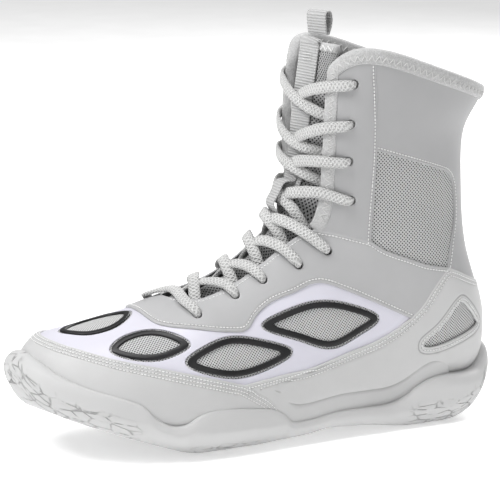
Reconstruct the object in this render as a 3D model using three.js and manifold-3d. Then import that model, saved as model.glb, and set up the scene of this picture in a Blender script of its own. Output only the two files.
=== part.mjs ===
// Left boxing boot: a lasted textile upper on a cupped rubber sole, laced up the front.
// Millimetres. Toe to -X, heel to +X, outer (lateral) side to -Y, up is +Z, ground at z = 0.
import * as THREE from 'three';
import { mergeVertices } from 'three/addons/utils/BufferGeometryUtils.js';
import Module from 'manifold-3d';

const wasm = await Module();
wasm.setup();

// ---- driving sizes -------------------------------------------------------------------------
const BOOT_LENGTH = 292;          // outsole, toe to heel
const BOOT_WIDTH = 103;           // outsole across the ball
const COLLAR_HEIGHT = 217;        // ground to the front of the collar
const PANEL = 1.4;                // outer panels
const BASE = 1.0;                 // mesh base, stiffeners and padding
const LINING = 1.2;
const SOCKLINER = 4.0;
const RING_PROUD = 0.5;           // window rings stand this far above the panels
const RING_WIDTH = 3.5;
const MESH_SUNK = 0.5;            // mesh inserts sit this far below the panels
const BINDING_WIDTH = 4.6;
const BINDING_PROUD = 0.5;
const TONGUE = 4.6;               // padded thickness
const TONGUE_OVERLAP = 5;         // tongue beyond each edge of the throat
const STRAP_WIDTH = 14;
const STRAP = 0.9;
const STRAP_LIFT = 0.5;           // clear of the tongue's bulge
const LACE = 3.0;                 // drawn-in lace as a round cord
const EYELET_CLEARANCE = 1.8;     // punched hole over the drawn-in lace
const SOLE_FLOOR = 4.5;           // rubber under the midsole
const SOLE_RIM = 9;               // rubber around the midsole
const WINDOW_CLEARANCE = 0.45;    // around a piece set into a window
const WINDOW_SIDES = 14;           // straight edges around a window
const GAP = 0.3;                  // clearance between pieces that touch

const EYELET_BORE = LACE + EYELET_CLEARANCE;

// The pattern is drawn for one size and graded to the driving sizes.
const PATTERN = { length: 292, width: 103, height: 217 };
const GRADE = new THREE.Vector3(
  BOOT_LENGTH / PATTERN.length,
  BOOT_WIDTH / PATTERN.width,
  COLLAR_HEIGHT / PATTERN.height,
);

// Depths of the layers below the outer face of the upper, all along the surface normal.
const BASE_TOP = -(PANEL + GAP);
const BASE_LOW = BASE_TOP - BASE;
const LINING_TOP = BASE_LOW - GAP;
const LINING_LOW = LINING_TOP - LINING;
const SOCK_TOP = LINING_LOW - GAP;
const BINDING_LOW = BASE_LOW - 0.4;
const LACE_CLEAR = 1;             // strands stand off what they cross
const LACE_OVER = BINDING_PROUD + LACE / 2 + LACE_CLEAR;
const LACE_UNDER = BINDING_LOW - LACE / 2 - 0.6 * LACE_CLEAR;
const TONGUE_TOP = LACE_UNDER - LACE / 2 - 0.9 * LACE_CLEAR;
const CROWN = 4.2;                // the tongue bulges up between the edges of the throat
const CROWN_SHARE = 0.9;          // of the throat's half width
const STRAP_TOP = TONGUE_TOP + CROWN + STRAP_LIFT + STRAP;
const CROSS_LOW = STRAP_TOP + LACE / 2 + 1.7 * LACE_CLEAR;
const CROSS_HIGH = CROSS_LOW + LACE + 0.7 * LACE_CLEAR;

// ---- the last: rows around the foot and the leg --------------------------------------------
// Foot rows stand upright: x, bottom, top, middle y, half width, widest share, top and bottom power.
const FOOT_ROWS = [
  [-134, 44, 44, 6, 0, 0.4, 1, 1],
  [-131, 33, 57, 6, 17, 0.4, 1, 0.8],
  [-118, 25, 66, 6, 34, 0.4, 1, 0.6],
  [-98, 19, 69.5, 4, 44, 0.38, 1, 0.55],
  [-72, 14, 75, 2, 48, 0.36, 1, 0.5],
  [-45, 11, 84, -1, 47.5, 0.34, 1.05, 0.5],
];
// Ankle rows fan about a pivot in front of the instep: angle from straight down, near and far radius.
const FAN_PIVOT = [-25, 165];
const FAN_ROWS = [
  [0, 74, 153, -2, 44.5, 0.3, 1.1, 0.5],
  [15, 66, 158, -2, 41, 0.32, 1.1, 0.5],
  [30, 60, 175, -1, 38, 0.36, 1.05, 0.6],
  [41, 57, 199, 0, 36.5, 0.38, 1, 0.75],
  [49, 55.5, 214, 0, 36, 0.4, 0.95, 0.9],
  [57, 54.5, 200, 0, 35.5, 0.42, 0.85, 0.95],
  [67, 53.5, 172, 0, 35.3, 0.45, 0.75, 1],
  [79, 52, 159, 0, 36.5, 0.48, 0.66, 1],
  [90, 52, 157, 0, 38, 0.5, 0.62, 1],
];
// Leg rows lie level: height, front x, back x.
const LEG_ROWS = [
  [185, 29, 142, 0, 40.5, 0.5, 0.6, 1],
  [205, 32, 147.5, 0, 42.5, 0.5, 0.6, 1],
  [228, 35, 154, 0, 44.5, 0.5, 0.6, 1],
];

const TOP_POWER = 7;             // place of the top power in a row of numbers
const rad = THREE.MathUtils.degToRad;

function lastRows() {
  const rows = [];
  for (const [x, low, high, ...shape] of FOOT_ROWS) rows.push([x, low, x, high, ...shape]);
  for (const [angle, near, far, ...shape] of FAN_ROWS) {
    const dx = Math.sin(rad(angle));
    const dz = -Math.cos(rad(angle));
    const [px, pz] = FAN_PIVOT;
    rows.push([px + far * dx, pz + far * dz, px + near * dx, pz + near * dz, ...shape]);
  }
  for (const [z, front, back, ...shape] of LEG_ROWS) rows.push([back, z, front, z, ...shape]);
  return rows;
}
const ROWS = lastRows();
const LAST_ROW = ROWS.length - 1;

// One row of numbers at any place t along the last, from the toe (0) to the top of the leg.
function rowAt(t) {
  const i = THREE.MathUtils.clamp(Math.floor(t), 0, LAST_ROW - 1);
  const f = t - i;
  return ROWS[i].map((b, k) => {
    const c = ROWS[i + 1][k];
    const a = i > 0 ? ROWS[i - 1][k] : 2 * b - c;
    const d = i < LAST_ROW - 1 ? ROWS[i + 2][k] : 2 * c - b;
    return 0.5 * (2 * b + (c - a) * f + (2 * a - 5 * b + 4 * c - d) * f * f
      + (3 * b - a - 3 * c + d) * f ** 3);
  });
}

// Centre-line points of a row: back or bottom, front or top, and the unit direction between them.
function spine(t) {
  const [bx, bz, fx, fz, mid, half] = rowAt(t);
  const back = new THREE.Vector3(bx, mid, bz).multiply(GRADE);
  const front = new THREE.Vector3(fx, mid, fz).multiply(GRADE);
  return { back, front, out: front.clone().sub(back).normalize(), half: Math.max(half, 0) * GRADE.y };
}

// A point of the outer face: th runs from the front or top centre line, positive to the lateral side.
function face(t, th) {
  const [bx, bz, fx, fz, mid, half, widest, topPower, lowPower] = rowAt(t);
  const s = Math.sin(th);
  const c = Math.cos(th);
  const power = c >= 0 ? topPower : lowPower;
  const y = mid - Math.max(half, 0) * Math.sign(s) * Math.abs(s) ** power;
  const reach = Math.abs(c) ** power;
  const u = c >= 0 ? widest + (1 - widest) * reach : widest * (1 - reach);
  return new THREE.Vector3(bx + (fx - bx) * u, y, bz + (fz - bz) * u).multiply(GRADE);
}

const STEP = 1e-3;
function faceNormal(t, th) {
  if (t < STEP) return new THREE.Vector3(-1, 0, 0);
  const along = face(Math.min(t + STEP, LAST_ROW), th).sub(face(t - STEP, th));
  const around = face(t, th + STEP).sub(face(t, th - STEP));
  return around.cross(along).normalize();
}
function facePoint(t, th, depth) {
  return face(t, th).addScaledVector(faceNormal(t, th), depth);
}

// ---- solids --------------------------------------------------------------------------------
function solidOf(geometry) {
  const bare = geometry.clone();
  bare.deleteAttribute('normal');
  bare.deleteAttribute('uv');
  const merged = mergeVertices(bare, 1e-4);
  const index = Array.from(merged.index.array);
  const keep = [];
  for (let i = 0; i < index.length; i += 3) {
    const [a, b, c] = index.slice(i, i + 3);
    if (a !== b && b !== c && c !== a) keep.push(a, b, c);
  }
  return new wasm.Manifold(new wasm.Mesh({
    numProp: 3,
    vertProperties: new Float32Array(merged.attributes.position.array),
    triVerts: new Uint32Array(keep),
  }));
}
function geometryOf(solid) {
  const { vertProperties, triVerts, numProp } = solid.getMesh();
  const points = [];
  for (let i = 0; i < vertProperties.length; i += numProp) {
    points.push(vertProperties[i], vertProperties[i + 1], vertProperties[i + 2]);
  }
  const geometry = new THREE.BufferGeometry();
  geometry.setAttribute('position', new THREE.Float32BufferAttribute(points, 3));
  geometry.setIndex(Array.from(triVerts));
  return geometry;
}

// A closed solid from rings of points, each ring the same length, capped at both ends.
function loft(rings) {
  const count = rings[0].length;
  const points = rings.flat();
  const faces = [];
  for (let i = 0; i < rings.length - 1; i += 1) {
    for (let j = 0; j < count; j += 1) {
      const a = i * count + j;
      const b = i * count + (j + 1) % count;
      faces.push(a, b, b + count, a, b + count, a + count);
    }
  }
  for (const [ring, flip] of [[0, true], [rings.length - 1, false]]) {
    const centre = rings[ring].reduce((sum, p) => sum.add(p), new THREE.Vector3()).divideScalar(count);
    points.push(centre);
    const hub = points.length - 1;
    for (let j = 0; j < count; j += 1) {
      const a = ring * count + j;
      const b = ring * count + (j + 1) % count;
      faces.push(...(flip ? [hub, b, a] : [hub, a, b]));
    }
  }
  const geometry = new THREE.BufferGeometry().setFromPoints(points);
  geometry.setIndex(faces);
  const solid = solidOf(geometry);
  if (solid.volume() >= 0) return solid;
  geometry.setIndex(faces.reverse());
  return solidOf(geometry);
}

const ROW_STEPS = [0, 0.4, 1, 2, 3, 4, 5, 6, 7, 8, 9, 9.6, 10.3, 11, 12, 13, 15, 17];
const HALF_ANGLES = [0, 14, 27, 41, 57, 76, 98, 122, 150];
const ANGLES = [...HALF_ANGLES, 180, ...HALF_ANGLES.slice(1).reverse().map((a) => 360 - a)].map(rad);

function lastSolid(depth) {
  return loft(ROW_STEPS.map((t) => ANGLES.map((th) => facePoint(t, th, depth))));
}
// The wall between two depths, open at the top of the leg.
function layer(top, low) {
  return lastSolid(top).subtract(cutAbove(lastSolid(low)));
}
// The inner core runs on past the outer one, so that the wall's end is a clean ring.
const CAP_INSET = 0.12;           // share by which the run-on is drawn in from the outer face
const CAP_BELOW = 0.5;
const CAP_ABOVE = 5;
function cutAbove(core) {
  const top = ROWS[LAST_ROW][1] * GRADE.z;
  const ring = ANGLES.map((th) => face(LAST_ROW, th).lerp(spine(LAST_ROW).front, CAP_INSET));
  const lower = ring.map((p) => p.clone().setZ(top - CAP_BELOW));
  const upper = ring.map((p) => p.clone().setZ(top + CAP_ABOVE));
  return core.add(loft([lower, upper]));
}

// ---- side-view outlines --------------------------------------------------------------------
const pt = (x, z) => new THREE.Vector2(x, z);
function line(points) {
  return points.map(([x, z]) => pt(x * GRADE.x, z * GRADE.z));
}
function shifted(points, distance) {
  return points.map((p, i) => {
    const a = points[Math.max(i - 1, 0)];
    const b = points[Math.min(i + 1, points.length - 1)];
    const along = b.clone().sub(a).normalize();
    return p.clone().add(pt(-along.y, along.x).multiplyScalar(distance));
  });
}
const FAR_SIDE = 90;
function sidePrism(outline, from = -FAR_SIDE, to = FAR_SIDE) {
  const geometry = new THREE.ExtrudeGeometry(new THREE.Shape(outline), {
    depth: to - from, bevelEnabled: false,
  });
  geometry.rotateX(Math.PI / 2);
  geometry.translate(0, to, 0);
  return solidOf(geometry);
}
const SIDES = { lateral: [-FAR_SIDE, 0], medial: [0, FAR_SIDE] };
function ribbon(points) {
  return sidePrism([...shifted(points, GAP / 2), ...shifted(points, -GAP / 2).reverse()]);
}
function joinAll(solids) {
  return solids.reduce((all, one) => all.add(one));
}

// Seams of the outer panels
const GUARD_SEAM = line([[-150, 66], [-126, 65], [-115, 62.5], [-96, 57.5], [-71, 52], [-44, 45], [-26, 39.5]]);
const WAIST_SEAM = line([[-26, 39.5], [-19, 35], [-11, 30], [-3, 22], [2, 12], [6, -20]]);
const FOXING_FRONT = line([[-26, 39.5], [-2, 42], [18, 43.5], [39, 48], [56, 52.5], [71, 58], [81, 64]]);
const FOXING_REAR = line([[81, 64], [89, 71], [95, 79], [101, 86], [106, 90.5]]);
const FOXING_BACK = line([[106, 90.5], [113, 87.5], [124, 82], [140, 75], [168, 68]]);
const QUARTER_SEAM = [
  ...line([[-71, 112]]),
  ...line([[-71, 75], [-69, 72], [-62, 71], [-51, 70], [-22, 67], [-19, 70], [-13, 75], [-3, 80],
    [12, 84], [22, 88], [29, 88], [42, 83], [57, 76], [71, 69], [81, 64]], 2),
];
const ANKLE_FRONT = line([[0, 128], [28, 117], [39, 115], [58, 109.5]]);
const ANKLE_REAR = line([[58, 109.5], [66, 104], [81, 98], [91, 94], [106, 90.5]]);
const EYESTAY_LOW = line([[58, 109.5], [59, 161]]);
const EYESTAY_HIGH = line([[59, 161], [56, 211], [55, 245]]);
const LEG_MESH_TOP = line([
  [59, 161], [99, 147.5], [107, 144], [112, 138], [114, 119], [110, 104], [106, 90.5],
]);
const COLLAR = line([[168, 179], [150, 184], [135, 189.5], [118, 196], [93, 205], [71, 213], [57, 216.6],
  [48, 217], [41, 214.5], [36.5, 209], [34, 203], [33, 197]]);

const SEAMS = joinAll([
  GUARD_SEAM, WAIST_SEAM, FOXING_FRONT, FOXING_REAR, FOXING_BACK, QUARTER_SEAM,
  ANKLE_FRONT, ANKLE_REAR, EYESTAY_LOW, EYESTAY_HIGH, LEG_MESH_TOP,
].map(ribbon));
const back = (points) => [...points].reverse();

// ---- the throat, the collar and the bottom opening -----------------------------------------
const THROAT_START = 4.72;
const ANKLE_ROW = 9.7;            // above this row the throat has a bound edge
const THROAT_WIDTHS = [[5, 16], [6, 15], [7, 14.5], [8, 16], [9, 18], [10, 20], [11, 21.5], [12, 23],
  [13, 24.5], [14, 26], [15, 26], [16, 25], [17, 24]];
const THROAT_ROUND = 0.5;         // rows over which the lower end rounds off
const CUT_OUTSIDE = 14;           // how far a cutter stands out of the surface
const CUT_INSIDE = 40;            // and how far it reaches in
const THROAT_SKEW = 0.18;         // the big-toe side runs further forward
const SKEW_END = 20;              // no lead from here back
const SKEW_RUN = 60;              // length over which the lead grows
const LEAST_HALF = 0.05;

function throatHalf(t) {
  const last = THROAT_WIDTHS.length - 1;
  let i = THROAT_WIDTHS.findIndex(([row]) => row > t) - 1;
  if (i === -2) i = last - 1;
  i = THREE.MathUtils.clamp(i, 0, last - 1);
  const [t0, w0] = THROAT_WIDTHS[i];
  const [t1, w1] = THROAT_WIDTHS[i + 1];
  const wide = w0 + (w1 - w0) * THREE.MathUtils.clamp((t - t0) / (t1 - t0), 0, 1);
  const s = THREE.MathUtils.clamp((t - THROAT_START) / THROAT_ROUND, 0, 1);
  return wide * GRADE.y * Math.sqrt(1 - (1 - s) ** 2);
}
function skewed(p, mid) {
  const share = THREE.MathUtils.clamp((SKEW_END - p.x / GRADE.x) / SKEW_RUN, 0, 1);
  p.x -= THROAT_SKEW * (p.y - mid) * share;
  return p;
}
// A block that runs along the front centre line, with a half width for each row.
function frontCutter(rows, halfAt, inside = CUT_INSIDE) {
  return loft(rows.map((t) => {
    const { front, out } = spine(t);
    const half = Math.max(halfAt(t), LEAST_HALF);
    return [[CUT_OUTSIDE, -1], [CUT_OUTSIDE, 1], [-inside, 1], [-inside, -1]].map(([depth, side]) => {
      const p = front.clone().addScaledVector(out, depth);
      p.y += side * half;
      return skewed(p, front.y);
    });
  }));
}
const THROAT_ROWS = [THROAT_START, 4.78, 4.92, 5.22, 6, 7, 8, 9, 10, 11, 12, 13, 15, 17];
const BOUND_ROWS = [ANKLE_ROW, 10, 11, 12, 13, 15, 17];
const throat = frontCutter(THROAT_ROWS, throatHalf);
const boundThroat = frontCutter(BOUND_ROWS, (t) => throatHalf(t) + BINDING_WIDTH * GRADE.y);
const boundClear = frontCutter(
  [ANKLE_ROW - 0.05, ...BOUND_ROWS],
  (t) => throatHalf(t) + BINDING_WIDTH * GRADE.y + GAP,
);

function belowCollar(inset) {
  const low = -40;
  const far = 400;
  return sidePrism([
    ...shifted(COLLAR, inset), pt(-far, COLLAR[COLLAR.length - 1].y - inset), pt(-far, low), pt(far, low),
    pt(far, COLLAR[0].y - inset),
  ]);
}
const collarOuter = belowCollar(0);
const collarInner = belowCollar(BINDING_WIDTH + 1);
const collarClear = belowCollar(BINDING_WIDTH + 1 + GAP);

// Bottom opening: where the panels turn in under the foot, closed by the strobel board.
const BOTTOM_ROWS = [1.2, 1.3, 1.6, 2.2, 3, 4, 6, 8, 9, 9.5, 9.7];
const BOTTOM_SHARE = 0.62;        // of the foot's half width
const SOCK_SHARE = 0.8;
const BOTTOM_UNDER = 14;          // the cutter reaches this far below the last
const BOTTOM_OVER = 15;           // and this far up into it
const BOTTOM_ROUND = 6;           // power of the curve that closes the ends
const BOTTOM_END = 0.0025;
function bottomCutter(share, grow) {
  const first = BOTTOM_ROWS[0];
  const last = BOTTOM_ROWS[BOTTOM_ROWS.length - 1];
  return loft(BOTTOM_ROWS.map((t) => {
    const row = spine(t);
    const s = Math.abs((2 * t - first - last) / (last - first));
    const half = row.half * share * Math.sqrt(Math.max(1 - s ** BOTTOM_ROUND, BOTTOM_END)) + grow;
    const corners = [[-BOTTOM_UNDER, -1], [-BOTTOM_UNDER, 1], [BOTTOM_OVER, 1], [BOTTOM_OVER, -1]];
    return corners.map(([depth, side]) => {
      const p = row.back.clone().addScaledVector(row.out, depth);
      p.y += side * half;
      return p;
    });
  }));
}
const bottomHole = bottomCutter(BOTTOM_SHARE, GAP);

// ---- places on the upper -------------------------------------------------------------------
// The frame of the outer face nearest to a side-view point: u runs to the heel, v up, n outwards.
const SEARCH_STEPS = 24;
const SEARCH_ROUNDS = 4;
const SEARCH_SHRINK = 8;
function frameAt(x, z, side) {
  const goal = pt(x * GRADE.x, z * GRADE.z);
  let best = { t: 6, th: 1, off: Infinity };
  let reach = { t: LAST_ROW / 2, th: Math.PI / 2, midT: LAST_ROW / 2, midTh: Math.PI / 2 };
  for (let round = 0; round < SEARCH_ROUNDS; round += 1) {
    for (let i = 0; i <= SEARCH_STEPS; i += 1) {
      for (let j = 0; j <= SEARCH_STEPS; j += 1) {
        const aside = (k) => 2 * k / SEARCH_STEPS - 1;
        const t = THREE.MathUtils.clamp(reach.midT + reach.t * aside(i), 0.2, LAST_ROW);
        const th = THREE.MathUtils.clamp(reach.midTh + reach.th * aside(j), 0.02, 3.1);
        const p = face(t, th * side);
        const off = Math.hypot(p.x - goal.x, p.z - goal.y);
        if (off < best.off) best = { t, th, off };
      }
    }
    reach = { t: reach.t / SEARCH_SHRINK, th: reach.th / SEARCH_SHRINK, midT: best.t, midTh: best.th };
  }
  return frameOf(best.t, best.th * side);
}
function frameOf(t, th) {
  const origin = face(t, th);
  const n = faceNormal(t, th);
  const u = new THREE.Vector3(1, 0, 0).addScaledVector(n, -n.x).normalize();
  const v = n.clone().cross(u);
  if (v.z < 0) v.negate();
  return { origin, n, u, v };
}
// A prism of a flat outline drawn in a frame, through the wall along the frame's normal.
const PRISM_LENGTH = 24;
const PRISM_INSIDE = 16;
function framePrism({ origin, n, u, v }, outline) {
  const handed = u.clone().cross(v).dot(n) > 0 ? 1 : -1;
  const shape = new THREE.Shape(outline.map((p) => pt(p.x * handed, p.y)));
  const geometry = new THREE.ExtrudeGeometry(shape, { depth: PRISM_LENGTH, bevelEnabled: false });
  geometry.translate(0, 0, -PRISM_INSIDE);
  const basis = new THREE.Matrix4().makeBasis(u.clone().multiplyScalar(handed), v, n);
  geometry.applyMatrix4(basis.setPosition(origin));
  return solidOf(geometry);
}
function closedCurve(points) {
  const loop = new THREE.CatmullRomCurve3(
    points.map(([u, v]) => new THREE.Vector3(u * GRADE.x, v * GRADE.z, 0)), true, 'catmullrom', 0.5,
  );
  return loop.getPoints(WINDOW_SIDES).slice(0, -1).map((p) => pt(p.x, p.y));
}
function grown(ring, distance) {
  const n = ring.length;
  return ring.map((p, i) => {
    const along = ring[(i + 1) % n].clone().sub(ring[(i + n - 1) % n]).normalize();
    return p.clone().add(pt(-along.y, along.x).multiplyScalar(distance));
  });
}
// Drawn in towards the middle by the same amount at the ends and at the top and bottom.
function shrunk(ring, distance) {
  const wide = Math.max(...ring.map((p) => Math.abs(p.x)));
  const tall = Math.max(...ring.map((p) => Math.abs(p.y)));
  return ring.map((p) => pt(p.x * (1 - distance / wide), p.y * (1 - distance / tall)));
}

// Windows of the overlay: place in the side view and outline, drawn clockwise from the front tip.
const WINDOWS = [
  {
    at: [-75, 63.8],
    outline: [[-21, 2], [-14, 9], [-2, 11], [9, 7], [20, -4], [16, -8], [2, -10], [-12, -6]],
  },
  {
    at: [-27.3, 54.6],
    outline: [[-31, 0], [-20, 7], [-3, 11], [16, 7], [32, 0], [18, -7], [-2, -10.5], [-20, -7]],
  },
  {
    at: [21.9, 65.8],
    outline: [[-32, 3], [-16, 10], [2, 13], [20, 10], [39, 1], [26, -7], [8, -12.5], [-12, -6]],
  },
];
const TOE_WINDOW = {
  row: 3.15,
  outline: [[-19, 1], [-10, 11], [4, 14], [16, 9], [22, 0], [16, -9], [4, -14], [-10, -11]],
};
const HEEL_WINDOW = {
  at: [109.5, 58.4],
  outline: [[-19.5, -10.5], [-8, -2], [4, 9.5], [9, 9.5], [20, -1.5], [21, -5], [4, -9.5], [-12, -12.5]],
};

// Eyelets: row of the last, degrees from the front centre line, and how far the big-toe side leads.
const EYELETS = [
  [5, 33, 0.28], [6.2, 31, 0.3], [7.05, 33, 0.25], [8.15, 41, 0.15], [9.4, 46, 0],
  [11.9, 57, 0], [13.3, 57, 0], [14.6, 55, 0], [15.7, 51, 0],
];
const SIDE_SIGN = { lateral: 1, medial: -1 };
const DRILL_LENGTH = 22;
const DRILL_SIDES = 6;
function eyelet(i, side) {
  const [row, degrees, lead] = EYELETS[i];
  return { t: side < 0 ? row - lead : row, th: rad(degrees) * side };
}
function eyeletCutters() {
  const drills = [];
  EYELETS.forEach((_, i) => {
    for (const side of [1, -1]) {
      const { t, th } = eyelet(i, side);
      const drill = new THREE.CylinderGeometry(EYELET_BORE / 2, EYELET_BORE / 2, DRILL_LENGTH, DRILL_SIDES);
      drill.rotateX(Math.PI / 2);
      const { origin, n, u, v } = frameOf(t, th);
      const handed = u.clone().cross(v).dot(n) > 0 ? 1 : -1;
      const basis = new THREE.Matrix4().makeBasis(u.clone().multiplyScalar(handed), v, n);
      drill.applyMatrix4(basis.setPosition(origin));
      drills.push(solidOf(drill));
    }
  });
  return joinAll(drills);
}
const drills = eyeletCutters();
const LINING_BACK = 15;           // the linings stop this far behind the edge of the throat
const LINING_FRONT = 33;          // and in the leg, this far behind the front
const LINING_ANKLE = 9.3;         // row where the leg's cut begins
const facingClear = frontCutter([...THROAT_ROWS.filter((t) => t < ANKLE_ROW), ANKLE_ROW],
  (t) => throatHalf(t) + LINING_BACK * GRADE.y)
  .add(frontCutter([LINING_ANKLE, ...BOUND_ROWS], () => FAR_SIDE, LINING_FRONT * GRADE.x));

// ---- the object ----------------------------------------------------------------------------
const boot = new THREE.Group();
function add(name, solid, colour, roughness) {
  const material = new THREE.MeshStandardMaterial({ color: colour, roughness, metalness: 0 });
  const geometry = geometryOf(solid);
  geometry.computeVertexNormals();
  const mesh = new THREE.Mesh(geometry, material);
  mesh.name = name;
  boot.add(mesh);
  return mesh;
}
const LIGHT_GREY = 0xd6d6d6;
const PANEL_GREY = 0xc4c4c6;
const LILAC_GREY = 0xd8d7e0;
const RING_BLACK = 0x3a3a3c;
const LACE_WHITE = 0xdededc;
const BOARD_GREY = 0x9c9c9c;

// Upper shell: the wall of each layer, without the throat, the collar band and the bottom opening
function trimmed(top, low) {
  return layer(top, low).intersect(collarClear).subtract(boundClear).subtract(throat)
    .subtract(bottomHole).subtract(drills);
}
function trimmedLining(top, low) {
  return layer(top, low).intersect(collarClear).subtract(facingClear).subtract(boundClear)
    .subtract(bottomHole);
}
const outer = trimmed(0, -PANEL);
const panels = outer.subtract(SEAMS);
const sunkPanels = trimmed(-MESH_SUNK, -PANEL).subtract(SEAMS);

const guardRegion = sidePrism([...GUARD_SEAM, ...WAIST_SEAM.slice(1), pt(-250, -20)]);
const foxingRegion = sidePrism([
  ...FOXING_FRONT, ...FOXING_REAR.slice(1), ...FOXING_BACK.slice(1), pt(250, -20), ...back(WAIST_SEAM),
]);
const overlayRegion = sidePrism([
  ...GUARD_SEAM, ...FOXING_FRONT.slice(1), ...back(QUARTER_SEAM).slice(1), pt(-250, 130),
]);
const quarterRegion = sidePrism([
  ...QUARTER_SEAM, ...FOXING_REAR.slice(1), ...back(ANKLE_REAR).slice(1), ...back(ANKLE_FRONT).slice(1),
  ...line([[-71, 128]]),
]);
const eyestayRegion = (side) => sidePrism(
  [...ANKLE_FRONT, ...EYESTAY_LOW.slice(1), ...EYESTAY_HIGH.slice(1), ...line([[0, 245]])],
  ...SIDES[side],
);
const legMeshRegion = (side) => sidePrism(
  [...EYESTAY_LOW, ...LEG_MESH_TOP.slice(1), ...back(ANKLE_REAR).slice(1)],
  ...SIDES[side],
);
const legRegion = sidePrism([
  ...EYESTAY_HIGH, ...line([[190, 245], [190, 68]]), ...back(FOXING_BACK), ...back(LEG_MESH_TOP).slice(1),
]);

// Windows with their raised rings
const ringWall = layer(RING_PROUD, -PANEL);
const windowHoles = [];
function addWindow(name, frame, outline) {
  const edge = closedCurve(outline);
  const whole = framePrism(frame, edge);
  const inside = framePrism(frame, shrunk(edge, RING_WIDTH));
  windowHoles.push(framePrism(frame, grown(edge, WINDOW_CLEARANCE)));
  add(name, ringWall.intersect(whole).subtract(inside), RING_BLACK, 0.35);
}
addWindow('window_ring_toe', frameOf(TOE_WINDOW.row, 0), TOE_WINDOW.outline);
for (const [side, sign] of Object.entries(SIDE_SIGN)) {
  WINDOWS.forEach(({ at, outline }, i) => {
    addWindow(`window_ring_${side}_${i + 1}`, frameAt(...at, sign), outline);
  });
}

add('vamp_overlay', panels.intersect(overlayRegion).subtract(joinAll(windowHoles)), LILAC_GREY, 0.45);
add('toe_guard', panels.intersect(guardRegion), LIGHT_GREY, 0.75);
add('quarter_panel', panels.intersect(quarterRegion), LIGHT_GREY, 0.75);

const heelHoles = [];
for (const [side, sign] of Object.entries(SIDE_SIGN)) {
  const frame = frameAt(...HEEL_WINDOW.at, sign);
  const edge = closedCurve(HEEL_WINDOW.outline);
  const insert = framePrism(frame, edge);
  heelHoles.push(framePrism(frame, grown(edge, WINDOW_CLEARANCE)));
  add(`heel_mesh_${side}`, sunkPanels.intersect(insert), PANEL_GREY, 0.9);
  add(`shaft_mesh_${side}`, sunkPanels.intersect(legMeshRegion(side)), PANEL_GREY, 0.9);
  add(`upper_eyestay_${side}`, panels.intersect(eyestayRegion(side)), PANEL_GREY, 0.75);
}
add('heel_foxing', panels.intersect(foxingRegion).subtract(joinAll(heelHoles)), LIGHT_GREY, 0.75);
add('shaft_panel', panels.intersect(legRegion), PANEL_GREY, 0.75);

// Base layer: mesh carrier, stiffeners and padding
const base = trimmed(BASE_TOP, BASE_LOW);
const PUFF_STOP = 5;
const puffEdge = sidePrism([...GUARD_SEAM.slice(0, PUFF_STOP), ...line([[-62, -20]]), pt(-250, -20)]);
const counterOutline = (d) => shifted(line([[64, -30], [64, 38], [92, 62], [108, 82], [200, 82]]), d);
const counterRegion = sidePrism([...counterOutline(0), pt(250, -30)]);
const counterClear = sidePrism([...counterOutline(GAP), pt(250, -30)]);
const footSide = sidePrism([
  ...ANKLE_FRONT, ...ANKLE_REAR.slice(1), ...line([[190, 70]]), pt(250, -30), pt(-250, -30), ...line([[-200, 128]]),
]);
const footSeam = ribbon([...line([[-60, 128]]), ...ANKLE_FRONT, ...ANKLE_REAR.slice(1), ...line([[190, 70]])]);
const eyestaySeam = ribbon([...EYESTAY_LOW, ...EYESTAY_HIGH.slice(1)]);
const puffSeam = ribbon([...GUARD_SEAM.slice(0, PUFF_STOP), ...line([[-62, -20]])]);
const lowBase = base.intersect(footSide).subtract(footSeam);
add('toe_puff', lowBase.intersect(puffEdge).subtract(puffSeam), BOARD_GREY, 0.8);
add('heel_counter', lowBase.intersect(counterRegion), BOARD_GREY, 0.8);
add('vamp_mesh', lowBase.subtract(puffEdge).subtract(puffSeam).subtract(counterClear), PANEL_GREY, 0.9);
const highBase = base.subtract(footSide).subtract(footSeam).subtract(eyestaySeam);
const frontOfSeam = (side) => sidePrism(
  [...EYESTAY_LOW, ...EYESTAY_HIGH.slice(1), ...line([[-100, 245], [-100, 90], [58, 90]])],
  ...SIDES[side],
);
add('eyestay_reinforcement_lateral', highBase.intersect(frontOfSeam('lateral')), BOARD_GREY, 0.8);
add('eyestay_reinforcement_medial', highBase.intersect(frontOfSeam('medial')), BOARD_GREY, 0.8);
add('shaft_padding', highBase.subtract(joinAll([frontOfSeam('lateral'), frontOfSeam('medial')])), BOARD_GREY, 0.9);

// Linings, board and sockliner
const inner = trimmedLining(LINING_TOP, LINING_LOW).subtract(footSeam);
add('foot_lining', inner.intersect(footSide), LIGHT_GREY, 0.9);
add('shaft_lining', inner.subtract(footSide), LIGHT_GREY, 0.9);
const board = layer(BASE_TOP, LINING_LOW).intersect(bottomCutter(BOTTOM_SHARE, 0));
const insole = layer(SOCK_TOP, SOCK_TOP - SOCKLINER).intersect(bottomCutter(SOCK_SHARE, 0));
add('strobel_board', board, BOARD_GREY, 0.8);
add('sockliner', insole, PANEL_GREY, 0.9);

// Folded tape around the collar and down both edges of the throat
const taped = layer(BINDING_PROUD, BINDING_LOW).intersect(collarOuter).subtract(throat)
  .subtract(collarInner.subtract(boundThroat));
add('collar_binding', taped, LACE_WHITE, 0.85);

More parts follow.
